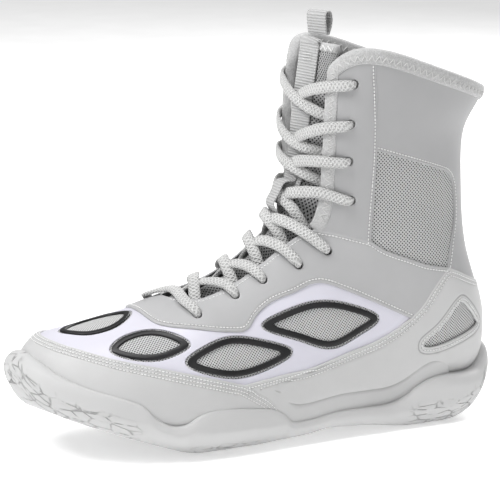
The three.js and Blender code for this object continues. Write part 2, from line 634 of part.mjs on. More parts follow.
// ---- sole ------------------------------------------------------------------------------------
// Sole stations: x, bottom, middle y, half width
const SOLE_STATIONS = [
  [-146, 43, 6, 3], [-143.5, 38, 6, 13], [-138, 31, 6, 22], [-130, 26.5, 6, 31], [-118, 21.5, 6, 39.5],
  [-98, 14.5, 4, 47.5], [-74, 6.5, 1, 50.5], [-54, 0, 0, 51.5], [-34, 0, -1.5, 49.5], [-14, 0, -2, 46.5],
  [6, 3, -2, 44], [30, 6, -1.5, 42], [58, 4, -1, 41], [82, 0, 0, 40.5], [108, 0, 0, 39],
  [122, 2.5, 0, 35.5], [133, 7, 0, 29], [140, 12.5, 0, 22], [144.5, 19, 0, 14], [146, 24, 0, 3],
];
const SOLE_TOP = 62;              // blank height before the wave is cut
const SOLE_EDGE = [[1, 9], [0.985, 4.5], [0.94, 1.2], [0.84, 0]]; // share of the half width, height
const SOLE_LEAST = 0.4;
function soleBlock(rim, floor) {
  return loft(SOLE_STATIONS.map(([x, low, mid, half]) => {
    const wide = Math.max(half * GRADE.y - rim, SOLE_LEAST);
    const z = low * GRADE.z + floor;
    const ring = [[1, SOLE_TOP * GRADE.z], ...SOLE_EDGE.map(([share, height]) => [share, z + height])];
    const points = ring.map(([share, height]) => new THREE.Vector3(
      x * GRADE.x, mid * GRADE.y - wide * share, height,
    ));
    const mirrored = back(ring).map(([share, height]) => new THREE.Vector3(
      x * GRADE.x, mid * GRADE.y + wide * share, height,
    ));
    return [...points, ...mirrored];
  }));
}
const SOLE_WAVE = line([
  [-160, 60], [-140, 55.5], [-130, 50.5], [-114, 44], [-95, 38], [-86, 34], [-78, 26], [-70, 21.5], [-62, 21.5],
  [-54, 26], [-44, 28], [-10, 24], [-2, 21], [5, 14.5], [17, 14], [34, 16], [54, 15.5], [70, 15.5], [79, 18.5],
  [87, 23.5], [96, 27], [107, 28], [122, 27], [134, 27.5], [141, 32], [146, 39], [160, 48],
]);
const aboveWave = sidePrism([...SOLE_WAVE, pt(400, 400), pt(-400, 400)]);
const upperSpace = lastSolid(GAP);
const MIDSOLE = { toe: -92, heel: 128, top: 22 };
function midsoleLimits(grow, top) {
  const toe = MIDSOLE.toe * GRADE.x - grow;
  const heel = MIDSOLE.heel * GRADE.x + grow;
  return sidePrism([pt(toe, -FAR_SIDE), pt(toe, top), pt(heel, top), pt(heel, -FAR_SIDE)]);
}
const core = soleBlock(SOLE_RIM, SOLE_FLOOR).intersect(midsoleLimits(0, MIDSOLE.top * GRADE.z))
  .subtract(upperSpace);
const pocket = soleBlock(SOLE_RIM - GAP, SOLE_FLOOR - GAP).intersect(midsoleLimits(GAP, FAR_SIDE));
add('midsole', core, LIGHT_GREY, 0.85);
add('outsole', soleBlock(0, 0).subtract(upperSpace).subtract(aboveWave).subtract(pocket), LIGHT_GREY, 0.6);

// ---- tongue, strap and pull loop ---------------------------------------------------------------
const HINGE_Z = 203.8;
const HINGE_GAP = 1.8;
const TIP_TOP = 219.5;
const TIP_HALF = 20;
const TONGUE_BAND = 5.5;
const TONGUE_ROWS = [4.5, 4.9, 5.4, 6, 7, 8, 9, 10, 11, 12, 13, 15, 17];
const ACROSS = [-1, -0.75, -0.5, -0.25, 0, 0.25, 0.5, 0.75, 1];
const CROWN_FADE = [0.1, 0.8];    // rows past the throat's start over which the bulge grows
const THROAT_FULL = 5;            // row from which the throat has its full width
const WIDEST = 0.98;

// The angle from the centre line at which a row reaches a given distance to the side.
function angleAcross(t, distance) {
  const { half } = spine(t);
  const share = Math.min(Math.abs(distance) / half, WIDEST);
  return Math.asin(share ** (1 / rowAt(t)[TOP_POWER])) * Math.sign(distance);
}
// A sheet behind the throat between two depths, bulging up along its middle.
function throatSheet(rows, halfAt, top, low) {
  return loft(rows.map((t) => {
    const half = halfAt(t);
    const crownEdge = throatHalf(Math.max(t, THROAT_FULL)) * CROWN_SHARE;
    const fade = THREE.MathUtils.smoothstep(t - THROAT_START, ...CROWN_FADE);
    const turn = (a) => Math.PI / 2 * Math.min(Math.abs(a) * half / crownEdge, 1);
    const crown = (a) => CROWN * fade * Math.cos(turn(a)) ** 2;
    const at = (a, depth) => facePoint(t, angleAcross(t, -a * half), depth + crown(a));
    return [...ACROSS.map((a) => at(a, top)), ...back(ACROSS).map((a) => at(a, low))];
  }));
}
function heightBand(from, to) {
  return sidePrism(line([[-200, from], [200, from], [200, to], [-200, to]]));
}
const tongueHalf = (t) => throatHalf(Math.max(t, THROAT_FULL)) + TONGUE_OVERLAP;
const tongue = throatSheet(TONGUE_ROWS, tongueHalf, TONGUE_TOP, TONGUE_TOP - TONGUE);
const tipSheet = throatSheet([14, 15, 16, 17], () => TIP_HALF * GRADE.y, TONGUE_TOP, TONGUE_TOP - TONGUE);
const tipBand = heightBand(HINGE_Z + HINGE_GAP, TIP_TOP - TONGUE_BAND - GAP);
add('tongue_body', tongue.intersect(heightBand(0, HINGE_Z - HINGE_GAP)), PANEL_GREY, 0.9);
add('tongue_tip', tipSheet.intersect(tipBand), PANEL_GREY, 0.9);
add('tongue_binding', tipSheet.intersect(heightBand(TIP_TOP - TONGUE_BAND, TIP_TOP)), LACE_WHITE, 0.85);

const strapSheet = throatSheet([9.9, 10.4, 11, 12, 13, 15, 17], () => STRAP_WIDTH / 2,
  TONGUE_TOP + STRAP_LIFT + STRAP, TONGUE_TOP + STRAP_LIFT);
add('tongue_strap', strapSheet.intersect(heightBand(0, HINGE_Z - HINGE_GAP)), LACE_WHITE, 0.85);
add('strap_top', strapSheet.intersect(heightBand(HINGE_Z + HINGE_GAP, TIP_TOP)), LACE_WHITE, 0.85);

// The loop of webbing at the top of the tongue, sewn together at its foot
const LOOP_PIVOT = { x: 40.5, z: 222.2 };
const LOOP_HEIGHT = 14;
const LOOP_HALF = 5;
const LOOP_FOOT = 1.5;
const WEBBING = 1.2;
// Teardrop of the loop: share of its half width and of its height, from the foot over the top.
const LOOP_SHAPE = [[-1, 0.5], [-1, 0.85], [-0.6, 1], [0.6, 1], [1, 0.85], [1, 0.5]];
const LOOP_NECK = 0.3;            // half width at the foot
const LOOP_SEAM = 1.9;            // the sewn foot closes the loop this much further up
function loopOutline(inset) {
  const half = LOOP_HALF - inset;
  const foot = inset > 0 ? LOOP_FOOT + LOOP_SEAM : -LOOP_FOOT;
  const top = LOOP_HEIGHT - inset;
  const arch = LOOP_SHAPE.map(([share, height]) => pt(half * share, top * height));
  return [pt(-half * LOOP_NECK, foot), ...arch, pt(half * LOOP_NECK, foot)];
}
const loopShape = new THREE.Shape(back(loopOutline(0)));
loopShape.holes.push(new THREE.Path(loopOutline(WEBBING)));
const loopGeometry = new THREE.ExtrudeGeometry(loopShape, { depth: STRAP_WIDTH, bevelEnabled: false });
loopGeometry.rotateX(Math.PI / 2);
loopGeometry.translate(LOOP_PIVOT.x * GRADE.x, STRAP_WIDTH / 2, LOOP_PIVOT.z * GRADE.z);
add('pull_loop', solidOf(loopGeometry), LACE_WHITE, 0.85);

// The bridge of webbing that holds the laces down at the bend of the instep
const KEEPER_ROW = 10.6;
const KEEPER_WIDTH = 10;
const KEEPER_END = 13;            // half length with the sewn feet
const KEEPER_FOOT = 10;           // half length between the feet
const KEEPER_ROOF = 8;            // half length of the raised part
const keeperLow = STRAP_TOP + GAP + 1.4;
const keeperHigh = CROSS_HIGH + LACE / 2 + 1.3;
function addKeeper() {
  const under = [[-KEEPER_END, keeperLow], [-KEEPER_FOOT, keeperLow], [-KEEPER_ROOF, keeperHigh],
    [KEEPER_ROOF, keeperHigh], [KEEPER_FOOT, keeperLow], [KEEPER_END, keeperLow]];
  const over = [[KEEPER_END, keeperLow], [KEEPER_FOOT + STRAP, keeperLow], [KEEPER_ROOF + STRAP, keeperHigh],
    [-KEEPER_ROOF - STRAP, keeperHigh], [-KEEPER_FOOT - STRAP, keeperLow], [-KEEPER_END, keeperLow]];
  const lifted = over.map(([x, z]) => [x, z + STRAP]);
  const shape = new THREE.Shape([...under, ...lifted].map(([x, z]) => pt(x, z)));
  const geometry = new THREE.ExtrudeGeometry(shape, { depth: KEEPER_WIDTH, bevelEnabled: false });
  geometry.translate(0, 0, -KEEPER_WIDTH / 2);
  const n = faceNormal(KEEPER_ROW, 0);
  const across = new THREE.Vector3(0, -1, 0);
  const along = n.clone().cross(across);
  const basis = new THREE.Matrix4().makeBasis(along, n, across);
  geometry.applyMatrix4(basis.setPosition(spine(KEEPER_ROW).front));
  add('lace_keeper', solidOf(geometry), LACE_WHITE, 0.85);
}
addKeeper();

// ---- lace ------------------------------------------------------------------------------------
const LACE_SIDES = 6;
const LACE_LEAD = 0.12;           // rows between the arriving and the leaving strand at the throat's edge
const AGLET = 22;
const TAIL = [[0.35, 14], [0.9, 28], [1.5, 34]]; // rows down and degrees round from the top eyelet
const TAIL_LIFT = 1.8;            // the tucked ends hang this far off the lining
const CROSSING = { near: 0.28, mid: 0.5, far: 0.72 }; // share of the way to the next eyelet
const BESIDE = 0.5;               // share of the throat's half width beside a crossing
const MID_LOW = -1.8;             // least depth of a rising strand beside a crossing
const MID_LIFT = 0.5;
const BAR_ROW = 5.2;              // lowest row whose width sets a strand's place
const CORD_TWIST = new THREE.Vector3(0.3, 0.2, 1).normalize();

function tube(points, radius) {
  const normal = CORD_TWIST.clone();
  return loft(points.map((p, i) => {
    const before = points[Math.max(i - 1, 0)];
    const after = points[Math.min(i + 1, points.length - 1)];
    const inward = p.clone().sub(before).normalize();
    const outward = after.clone().sub(p).normalize();
    const along = inward.add(outward).normalize();
    normal.addScaledVector(along, -normal.dot(along)).normalize();
    const side = along.clone().cross(normal);
    return Array.from({ length: LACE_SIDES }, (_, k) => {
      const turn = 2 * Math.PI * k / LACE_SIDES;
      return p.clone().addScaledVector(normal, radius * Math.cos(turn))
        .addScaledVector(side, radius * Math.sin(turn));
    });
  }));
}
function besideCentre(t, share, side, depth) {
  return facePoint(t, angleAcross(t, throatHalf(Math.max(t, BAR_ROW)) * share) * side, depth);
}
// One half of the lace: from the bar over the lowest eyelets up to the top eyelet and back down inside.
function halfLace(firstSide) {
  const points = [];
  let side = firstSide;
  EYELETS.forEach((_, i) => {
    const { t, th } = eyelet(i, side);
    points.push(besideCentre(t - LACE_LEAD, 1, side, LACE_OVER));
    points.push(facePoint(t, th, LACE_OVER), facePoint(t, th, LACE_UNDER));
    if (i === EYELETS.length - 1) {
      for (const [rows, turn] of TAIL) {
        points.push(facePoint(t - rows, th + rad(turn) * side, LACE_UNDER - TAIL_LIFT));
      }
      return;
    }
    const next = eyelet(i + 1, -side);
    const over = side > 0;
    const centre = over ? CROSS_HIGH : CROSS_LOW;
    const at = (share) => THREE.MathUtils.lerp(t, next.t, share);
    points.push(besideCentre(t + LACE_LEAD, 1, side, LACE_UNDER));
    const rising = Math.max((LACE_UNDER + centre) / 2, MID_LOW);
    const falling = (LACE_OVER + centre) / 2 + MID_LIFT;
    points.push(besideCentre(at(CROSSING.near), BESIDE, side, rising));
    points.push(besideCentre(at(CROSSING.mid), 0, side, centre));
    points.push(besideCentre(at(CROSSING.far), BESIDE, -side, falling));
    side = -side;
  });
  return points;
}
const lateralHalf = halfLace(1);
const medialHalf = halfLace(-1);
const barRow = EYELETS[0][0];
const bar = besideCentre(barRow - LACE_LEAD, 0, 1, LACE_OVER);
const wholeLace = [...back(lateralHalf), bar, ...medialHalf];
add('lace', tube(wholeLace, LACE / 2), LACE_WHITE, 0.85);
for (const [name, half] of [['aglet_lateral', lateralHalf], ['aglet_medial', medialHalf]]) {
  const [from, to] = half.slice(-2);
  const along = to.clone().sub(from).normalize();
  const start = to.clone().addScaledVector(along, GAP);
  const tip = start.clone().addScaledVector(along, AGLET);
  add(name, tube([start, tip], LACE / 2), RING_BLACK, 0.4);
}

export default boot;
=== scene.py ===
import math

import bmesh
import bpy
import numpy as np
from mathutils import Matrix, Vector
from mathutils.bvhtree import BVHTree
from mathutils.kdtree import KDTree


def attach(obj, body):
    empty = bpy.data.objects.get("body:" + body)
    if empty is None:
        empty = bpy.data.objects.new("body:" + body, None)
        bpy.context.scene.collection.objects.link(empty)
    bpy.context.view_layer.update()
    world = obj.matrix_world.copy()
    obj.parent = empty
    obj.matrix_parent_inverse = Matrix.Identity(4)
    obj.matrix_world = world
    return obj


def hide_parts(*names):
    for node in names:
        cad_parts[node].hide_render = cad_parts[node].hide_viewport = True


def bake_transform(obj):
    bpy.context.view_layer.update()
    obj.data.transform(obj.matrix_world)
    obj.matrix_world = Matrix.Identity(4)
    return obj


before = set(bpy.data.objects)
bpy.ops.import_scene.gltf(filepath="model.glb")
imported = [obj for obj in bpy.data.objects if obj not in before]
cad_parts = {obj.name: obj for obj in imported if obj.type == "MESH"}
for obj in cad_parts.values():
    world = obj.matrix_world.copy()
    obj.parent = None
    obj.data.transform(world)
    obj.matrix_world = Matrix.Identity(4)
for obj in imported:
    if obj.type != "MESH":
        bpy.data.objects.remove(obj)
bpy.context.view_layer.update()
MM = 0.001

# ---- camera, floor and light -------------------------------------------------------------
def aim(obj, place, target):
    obj.location = place
    obj.rotation_euler = (Vector(target) - Vector(place)).to_track_quat("-Z", "Y").to_euler()
    bpy.context.scene.collection.objects.link(obj)


def around(azimuth, elevation, distance, target):
    a, e = math.radians(azimuth), math.radians(elevation)
    back = Vector((math.sin(a) * math.cos(e), -math.cos(a) * math.cos(e), math.sin(e)))
    return Vector(target) + back * distance


LOOK_AT = (0, 0, 0.100)
camera = bpy.data.objects.new("camera", bpy.data.cameras.new("camera"))
camera.data.lens = 193.3
camera.data.sensor_width = 36
camera.data.shift_x = -0.004
camera.data.shift_y = 0.012
aim(camera, around(-25, 12, 1.5, LOOK_AT), LOOK_AT)
bpy.context.scene.camera = camera


def softbox(name, azimuth, elevation, distance, size, power, target=(0, 0, 0.1)):
    light = bpy.data.lights.new(name, "AREA")
    light.shape = "RECTANGLE"
    light.size, light.size_y = size
    light.energy = power
    aim(bpy.data.objects.new(name, light), around(azimuth, elevation, distance, target), target)


softbox("key", -82, 52, 1.6, (0.7, 0.6), 18.5)
softbox("fill", 12, 26, 2.2, (1.2, 1.0), 4)
softbox("rim", 125, 30, 1.6, (0.8, 0.8), 19)
softbox("overhead", -20, 86, 1.5, (0.9, 0.8), 9)
bpy.context.scene.view_settings.view_transform = "Standard"
world = bpy.data.worlds.new("studio")
world.use_nodes = True
world.node_tree.nodes["Background"].inputs["Color"].default_value = (1, 1, 1, 1)
world.node_tree.nodes["Background"].inputs["Strength"].default_value = 0.28
bpy.context.scene.world = world


# ---- materials ------------------------------------------------------------------------------
class Finish:
    """A node material with short calls for the parts that repeat."""

    def __init__(self, name, colour, roughness, sheen=0.0, specular=0.5, coat=0.0):
        self.material = bpy.data.materials.new(name)
        self.material.use_nodes = True
        self.tree = self.material.node_tree
        self.shader = self.tree.nodes["Principled BSDF"]
        self.shader.inputs["Base Color"].default_value = (*colour, 1)
        self.shader.inputs["Roughness"].default_value = roughness
        self.shader.inputs["Specular IOR Level"].default_value = specular
        self.shader.inputs["Sheen Weight"].default_value = sheen
        self.shader.inputs["Coat Weight"].default_value = coat
        self.colour = colour
        self.space = self.tree.nodes.new("ShaderNodeTexCoord")

    def node(self, kind, **settings):
        node = self.tree.nodes.new(kind)
        for key, value in settings.items():
            setattr(node, key, value)
        return node

    def link(self, source, target):
        self.tree.links.new(source, target)
        return source

    def math(self, operation, a, b=None, clamp=False):
        node = self.node("ShaderNodeMath", operation=operation, use_clamp=clamp)
        for socket, value in zip(node.inputs, (a, b)):
            if value is None:
                continue
            if isinstance(value, (int, float)):
                socket.default_value = value
            else:
                self.link(value, socket)
        return node.outputs[0]

    def mapped(self, source, scale, turn=0.0):
        mapping = self.node("ShaderNodeMapping")
        self.link(self.space.outputs[source], mapping.inputs["Vector"])
        mapping.inputs["Scale"].default_value = (scale, scale, scale)
        mapping.inputs["Rotation"].default_value = (0, 0, math.radians(turn))
        return mapping.outputs[0]

    def noise(self, source, scale, detail=3.0, rough=0.55):
        noise = self.node("ShaderNodeTexNoise")
        self.link(self.mapped(source, scale), noise.inputs["Vector"])
        noise.inputs["Scale"].default_value = 1.0
        noise.inputs["Detail"].default_value = detail
        noise.inputs["Roughness"].default_value = rough
        return noise.outputs[0]

    def shade(self, factor, low, high):
        """Base colour runs from low to high times the finish's colour as factor goes 0 to 1."""
        ramp = self.node("ShaderNodeValToRGB")
        ramp.color_ramp.elements[0].color = (*[c * low for c in self.colour], 1)
        ramp.color_ramp.elements[1].color = (*[c * high for c in self.colour], 1)
        self.link(factor, ramp.inputs[0])
        self.link(ramp.outputs[0], self.shader.inputs["Base Color"])
        return ramp

    def bump(self, height, distance, strength=1.0):
        bump = self.node("ShaderNodeBump")
        bump.inputs["Distance"].default_value = distance
        bump.inputs["Strength"].default_value = strength
        self.link(height, bump.inputs["Height"])
        previous = self.shader.inputs["Normal"].links
        if previous:
            self.link(previous[0].from_socket, bump.inputs["Normal"])
        self.link(bump.outputs[0], self.shader.inputs["Normal"])


def grain_and_painted_channel_shade(finish, grain, low, high, groove=0.45):
    """Cloudy colour, darkened with painted shade in a sewn channel."""
    channel = finish.node("ShaderNodeAttribute", attribute_name="channel")
    # painted shade: the colour drops by up to groove (0.45) where the channel attribute is 1, standing for the
    # shade in a sewn dip
    unshaded_share = finish.math("SUBTRACT", 1.0, finish.math("MULTIPLY", channel.outputs["Fac"], groove))
    cloud = finish.math("ADD", low, finish.math("MULTIPLY", grain, high - low))
    finish.shade(finish.math("MULTIPLY", unshaded_share, cloud), 0.0, 1.0)


def leather(name, colour, roughness=0.52):
    skin = Finish(name, colour, roughness, specular=0.35)
    grain_and_painted_channel_shade(skin, skin.noise("Object", 90, 4), 0.93, 1.0)
    skin.bump(skin.noise("Object", 1900, 3), 0.00010, 0.55)
    skin.bump(skin.noise("Object", 60, 2), 0.0006, 0.25)
    return skin.material


def satin(name, colour):
    film = Finish(name, colour, 0.34, specular=0.45)
    grain_and_painted_channel_shade(film, film.noise("Object", 40, 3), 0.95, 1.0)
    film.bump(film.noise("Object", 2600, 2), 0.00005, 0.5)
    film.bump(film.noise("Object", 75, 2), 0.0005, 0.2)
    return film.material


def holes(finish, pitch, turn, open_share):
    """1 on the yarn and 0 in the small openings of a mesh, on the piece's own map in metres."""
    vector = finish.mapped("UV", 1.0 / pitch, turn)
    split = finish.node("ShaderNodeSeparateXYZ")
    finish.link(vector, split.inputs[0])
    away = []
    for axis in (0, 1):
        part = finish.math("SUBTRACT", finish.math("FRACT", split.outputs[axis]), 0.5)
        away.append(finish.math("POWER", finish.math("ABSOLUTE", part), 2.4))
    spread = finish.math("POWER", finish.math("ADD", *away), 1 / 2.4)
    rising = finish.math("SUBTRACT", spread, open_share / 2 - 0.07)
    return finish.math("MULTIPLY", rising, 7.0, clamp=True)


def mesh_cloth(name, colour, painted_hole_shade, pitch, turn=45.0, open_share=0.56):
    cloth = Finish(name, colour, 0.85, sheen=0.15, specular=0.2)
    yarn = holes(cloth, pitch, turn, open_share)
    # painted shade: the openings are coloured at a twentieth of the yarn's colour or less, standing for the shade
    # seen through them
    ramp = cloth.shade(yarn, painted_hole_shade, 1.0)
    ramp.color_ramp.elements[1].position = 0.85
    cloth.bump(yarn, 0.0006, 0.8)
    cloth.bump(cloth.noise("Object", 2200, 2), 0.00015, 0.5)
    return cloth.material


def ribbed(name, colour, pitch, depth=0.0004):
    webbing = Finish(name, colour, 0.8, sheen=0.2, specular=0.2)
    vector = webbing.mapped("UV", 1.0 / pitch)
    split = webbing.node("ShaderNodeSeparateXYZ")
    webbing.link(vector, split.inputs[0])
    wave = webbing.math("SINE", webbing.math("MULTIPLY", split.outputs[1], 2 * math.pi))
    rib = webbing.math("MULTIPLY", webbing.math("ADD", wave, 1.0), 0.5)
    yarn = webbing.noise("Object", 1500, 3)
    mix = webbing.math("MULTIPLY", webbing.math("ADD", rib, yarn), 0.5)
    # painted shade: the troughs between the ribs are coloured darker than the crests, standing for the shade
    # between them; the yarn noise is the webbing's own tone
    webbing.shade(mix, 0.62, 1.08)
    webbing.bump(rib, depth, 0.8)
    webbing.bump(yarn, 0.0002, 0.6)
    return webbing.material


def braid(name, colour, pitch=0.0022):
    """Plaited yarn: two sets of slanting ridges that cross."""
    cord = Finish(name, colour, 0.82, sheen=0.25, specular=0.2)
    vector = cord.mapped("UV", 1.0 / pitch)
    split = cord.node("ShaderNodeSeparateXYZ")
    cord.link(vector, split.inputs[0])
    ridges = []
    for sign in (1.0, -1.0):
        slant = cord.math("ADD", split.outputs[1], cord.math("MULTIPLY", split.outputs[0], sign))
        ridges.append(cord.math("SINE", cord.math("MULTIPLY", slant, 2 * math.pi)))
    weave = cord.math("MULTIPLY", cord.math("ADD", cord.math("MAXIMUM", *ridges), 1.0), 0.5)
    fuzz = cord.noise("Object", 1700, 3)
    # painted shade: the valleys between the plaited ridges are coloured darker than the ridges, standing for the
    # shade between the yarns; the fuzz is the yarn's own tone
    cord.shade(cord.math("ADD", cord.math("MULTIPLY", weave, 0.7), cord.math("MULTIPLY", fuzz, 0.3)), 0.58, 1.08)
    cord.bump(weave, 0.0006, 1.0)
    cord.bump(fuzz, 0.00025, 0.6)
    return cord.material


def knit(name, colour):
    tape = Finish(name, colour, 0.88, sheen=0.3, specular=0.15)
    loops = tape.node("ShaderNodeTexVoronoi")
    tape.link(tape.mapped("Object", 1300), loops.inputs["Vector"])
    loops.inputs["Scale"].default_value = 1.0
    fuzz = tape.noise("Object", 700, 4)
    blend = tape.math("MULTIPLY", tape.math("ADD", loops.outputs["Distance"], fuzz), 0.5)
    tape.shade(blend, 0.55, 1.25)
    tape.bump(loops.outputs["Distance"], 0.0003, -0.8)
    tape.bump(fuzz, 0.0003, 0.5)
    return tape.material


def rubber(name, colour):
    """Moulded rubber with shallow branching cuts where the wall is marked for them, painted darker as shade in the
    cuts.
    """
    sole = Finish(name, colour, 0.62, specular=0.35)
    cuts = sole.node("ShaderNodeTexVoronoi", feature="DISTANCE_TO_EDGE")
    mapping = sole.node("ShaderNodeMapping")
    sole.link(sole.space.outputs["UV"], mapping.inputs["Vector"])
    mapping.inputs["Scale"].default_value = (90, 260, 100)
    mapping.inputs["Rotation"].default_value = (0, 0, math.radians(38))
    sole.link(mapping.outputs[0], cuts.inputs["Vector"])
    cuts.inputs["Scale"].default_value = 1.0
    line = sole.math("SUBTRACT", 1.0, sole.math("MULTIPLY", cuts.outputs["Distance"], 13.0), clamp=True)
    marked = sole.node("ShaderNodeAttribute", attribute_name="cuts")
    broken = sole.math("MULTIPLY", sole.math("SUBTRACT", sole.noise("Object", 170, 2), 0.40), 8.0, clamp=True)
    cut = sole.math("MULTIPLY", sole.math("MULTIPLY", line, broken), marked.outputs["Fac"], clamp=True)
    cloud = sole.noise("Object", 55, 4)
    # painted shade: the cut lines take up to 0.38 off the base colour, standing for the shade inside the cuts; the
    # cloud is the rubber's own tone
    level = sole.math("SUBTRACT", sole.math("ADD", 0.94, sole.math("MULTIPLY", cloud, 0.06)),
                      sole.math("MULTIPLY", cut, 0.38))
    sole.shade(level, 0.0, 1.0)
    sole.bump(sole.math("SUBTRACT", 1.0, cut), 0.0008, 0.8)
    sole.bump(sole.noise("Object", 1400, 3), 0.00008, 0.5)
    return sole.material


def plain(name, colour, roughness, grain=900, depth=0.0002):
    sheet = Finish(name, colour, roughness, specular=0.2)
    sheet.shade(sheet.noise("Object", grain / 3, 3), 0.9, 1.05)
    sheet.bump(sheet.noise("Object", grain, 3), depth, 0.6)
    return sheet.material


FINISH = {
    "quarter_leather": leather("quarter leather", (0.45, 0.45, 0.455)),
    "binding_thread": plain("binding thread", (0.62, 0.62, 0.615), 0.8, 2600),
    "panel_cloth": leather("smooth leather", (0.56, 0.56, 0.56)),
    "shaft_cloth": leather("shaft leather", (0.41, 0.41, 0.415), 0.55),
    "satin_overlay": satin("satin overlay", (0.67, 0.66, 0.735)),
    "ring_film": satin("black ring film", (0.008, 0.008, 0.009)),
    "window_mesh": mesh_cloth("window mesh", (0.60, 0.60, 0.60), 0.05, 0.00130, 40),
    "knit_mesh": mesh_cloth("shaft mesh", (0.55, 0.55, 0.55), 0.05, 0.00150, 45),
    "tongue_mesh": mesh_cloth("tongue mesh", (0.40, 0.40, 0.40), 0.04, 0.00170, 45),
    "lining_mesh": mesh_cloth("lining mesh", (0.42, 0.42, 0.42), 0.05, 0.00170, 45),
    "binding_tape": knit("knitted tape", (0.52, 0.52, 0.52)),
    "webbing": ribbed("ribbed webbing", (0.54, 0.54, 0.54), 0.0016),
    "lace_braid": braid("plaited lace", (0.66, 0.66, 0.655)),
    "thread": plain("sewing thread", (0.80, 0.80, 0.795), 0.7, 2600),
    "sole_rubber": rubber("sole rubber", (0.57, 0.57, 0.57)),
    "midsole_foam": plain("midsole foam", (0.78, 0.78, 0.78), 0.8),
    "stiffener_board": plain("fibre board", (0.45, 0.45, 0.44), 0.9),
    "collar_foam": plain("collar foam", (0.62, 0.62, 0.61), 0.9),
    "sockliner_foam": plain("sockliner cloth", (0.52, 0.52, 0.52), 0.9),
    "aglet_plastic": plain("aglet film", (0.55, 0.55, 0.55), 0.25, 400, 0.00005),
    "floor": plain("paper floor", (0.92, 0.92, 0.92), 0.9, 60, 0.00001),
}
bpy.ops.mesh.primitive_plane_add(size=8)
floor = bpy.context.object
floor.name = "floor"
floor_shader = FINISH["floor"].node_tree.nodes["Principled BSDF"]
floor_shader.inputs["Emission Color"].default_value = (1, 1, 1, 1)
floor_shader.inputs["Emission Strength"].default_value = 0.36
floor.data.materials.append(FINISH["floor"])


# ---- the last: rows round the foot and the leg, in millimetres ------------------------------
# x of the back, its height, x of the front, its height, middle y, half width, widest share, powers
FOOT_ROWS = [
    (-134, 44, 44, 6, 0, 0.4, 1, 1), (-131, 33, 57, 6, 17, 0.4, 1, 0.8),
    (-118, 25, 66, 6, 34, 0.4, 1, 0.6), (-98, 19, 69.5, 4, 44, 0.38, 1, 0.55),
    (-72, 14, 75, 2, 48, 0.36, 1, 0.5), (-45, 11, 84, -1, 47.5, 0.34, 1.05, 0.5),
]
FAN_PIVOT = (-25, 165)
FAN_ROWS = [
    (0, 74, 153, -2, 44.5, 0.3, 1.1, 0.5), (15, 66, 158, -2, 41, 0.32, 1.1, 0.5),
    (30, 60, 175, -1, 38, 0.36, 1.05, 0.6), (41, 57, 199, 0, 36.5, 0.38, 1, 0.75),
    (49, 55.5, 214, 0, 36, 0.4, 0.95, 0.9), (57, 54.5, 200, 0, 35.5, 0.42, 0.85, 0.95),
    (67, 53.5, 170, 0, 35.3, 0.45, 0.75, 1), (79, 52, 156, 0, 36.5, 0.48, 0.66, 1),
    (90, 52, 154, 0, 38, 0.5, 0.62, 1),
]
LEG_ROWS = [
    (185, 29, 139.5, 0, 40.5, 0.5, 0.6, 1), (205, 32, 146, 0, 42.5, 0.5, 0.6, 1),
    (228, 35, 154, 0, 44.5, 0.5, 0.6, 1),
]


def last_rows():
    rows = [(x, low, x, high, *shape) for x, low, high, *shape in FOOT_ROWS]
    for angle, near, far, *shape in FAN_ROWS:
        dx, dz = math.sin(math.radians(angle)), -math.cos(math.radians(angle))
        px, pz = FAN_PIVOT
        rows.append((px + far * dx, pz + far * dz, px + near * dx, pz + near * dz, *shape))
    rows += [(back, z, front, z, *shape) for z, front, back, *shape in LEG_ROWS]
    return np.array(rows, float)


ROWS = last_rows()
LAST_ROW = len(ROWS) - 1


def smooth_rows(rows, t):
    t = np.asarray(t, float)
    count = len(rows)
    i = np.clip(np.floor(t).astype(int), 0, count - 2)
    f = (t - i)[..., None]
    b, c = rows[i], rows[i + 1]
    a = np.where((i == 0)[..., None], 2 * b - c, rows[np.maximum(i - 1, 0)])
    d = np.where((i == count - 2)[..., None], 2 * c - b, rows[np.minimum(i + 2, count - 1)])
    return 0.5 * (2 * b + (c - a) * f + (2 * a - 5 * b + 4 * c - d) * f * f
                  + (3 * b - a - 3 * c + d) * f ** 3)


def face(t, th):
    """Point of the outer face; th runs from the front centre line, positive to the outer side."""
    bx, bz, fx, fz, mid, half, widest, top_power, low_power = np.moveaxis(smooth_rows(ROWS, t), -1, 0)
    s, c = np.sin(th), np.cos(th)
    power = np.where(c >= 0, top_power, low_power)
    y = mid - np.maximum(half, 0) * np.sign(s) * np.abs(s) ** power
    reach = np.abs(c) ** power
    u = np.where(c >= 0, widest + (1 - widest) * reach, widest * (1 - reach))
    return np.stack([bx + (fx - bx) * u, y, bz + (fz - bz) * u], -1)


def unit(v):
    return v / np.maximum(np.linalg.norm(v, axis=-1, keepdims=True), 1e-12)


STEP = 2e-3


def normal(t, th):
    t, th = np.broadcast_arrays(np.asarray(t, float), np.asarray(th, float))
    low = np.maximum(t, STEP)
    along = face(np.minimum(low + STEP, LAST_ROW), th) - face(low - STEP, th)
    around_ring = face(low, th + STEP) - face(low, th - STEP)
    return unit(np.cross(around_ring, along))


def place(t, th, depth):
    return face(t, th) + normal(t, th) * np.asarray(depth)[..., None]


# ---- the grid that every skin is cut from -----------------------------------------------------
ROW_CELLS = [9, 12, 13, 17, 17, 13, 20, 20, 17, 17, 17, 17, 19, 17, 13, 14, 12]
SIDE_CELLS = 84


def even_angles(t, cells):
    """Angles from front to back that divide each row's outline evenly."""
    fine = np.linspace(0, math.pi, 361)
    points = face(t[:, None], np.broadcast_to(fine, (len(t), len(fine))))
    run = np.concatenate([np.zeros((len(t), 1)),
                          np.cumsum(np.linalg.norm(np.diff(points, axis=1), axis=-1), 1)], 1)
    run += np.linspace(0, 1e-6, len(fine))
    want = np.linspace(0, 1, cells + 1)
    angles = np.stack([np.interp(want * r[-1], r, fine) for r in run])
    return angles, run[:, -1]


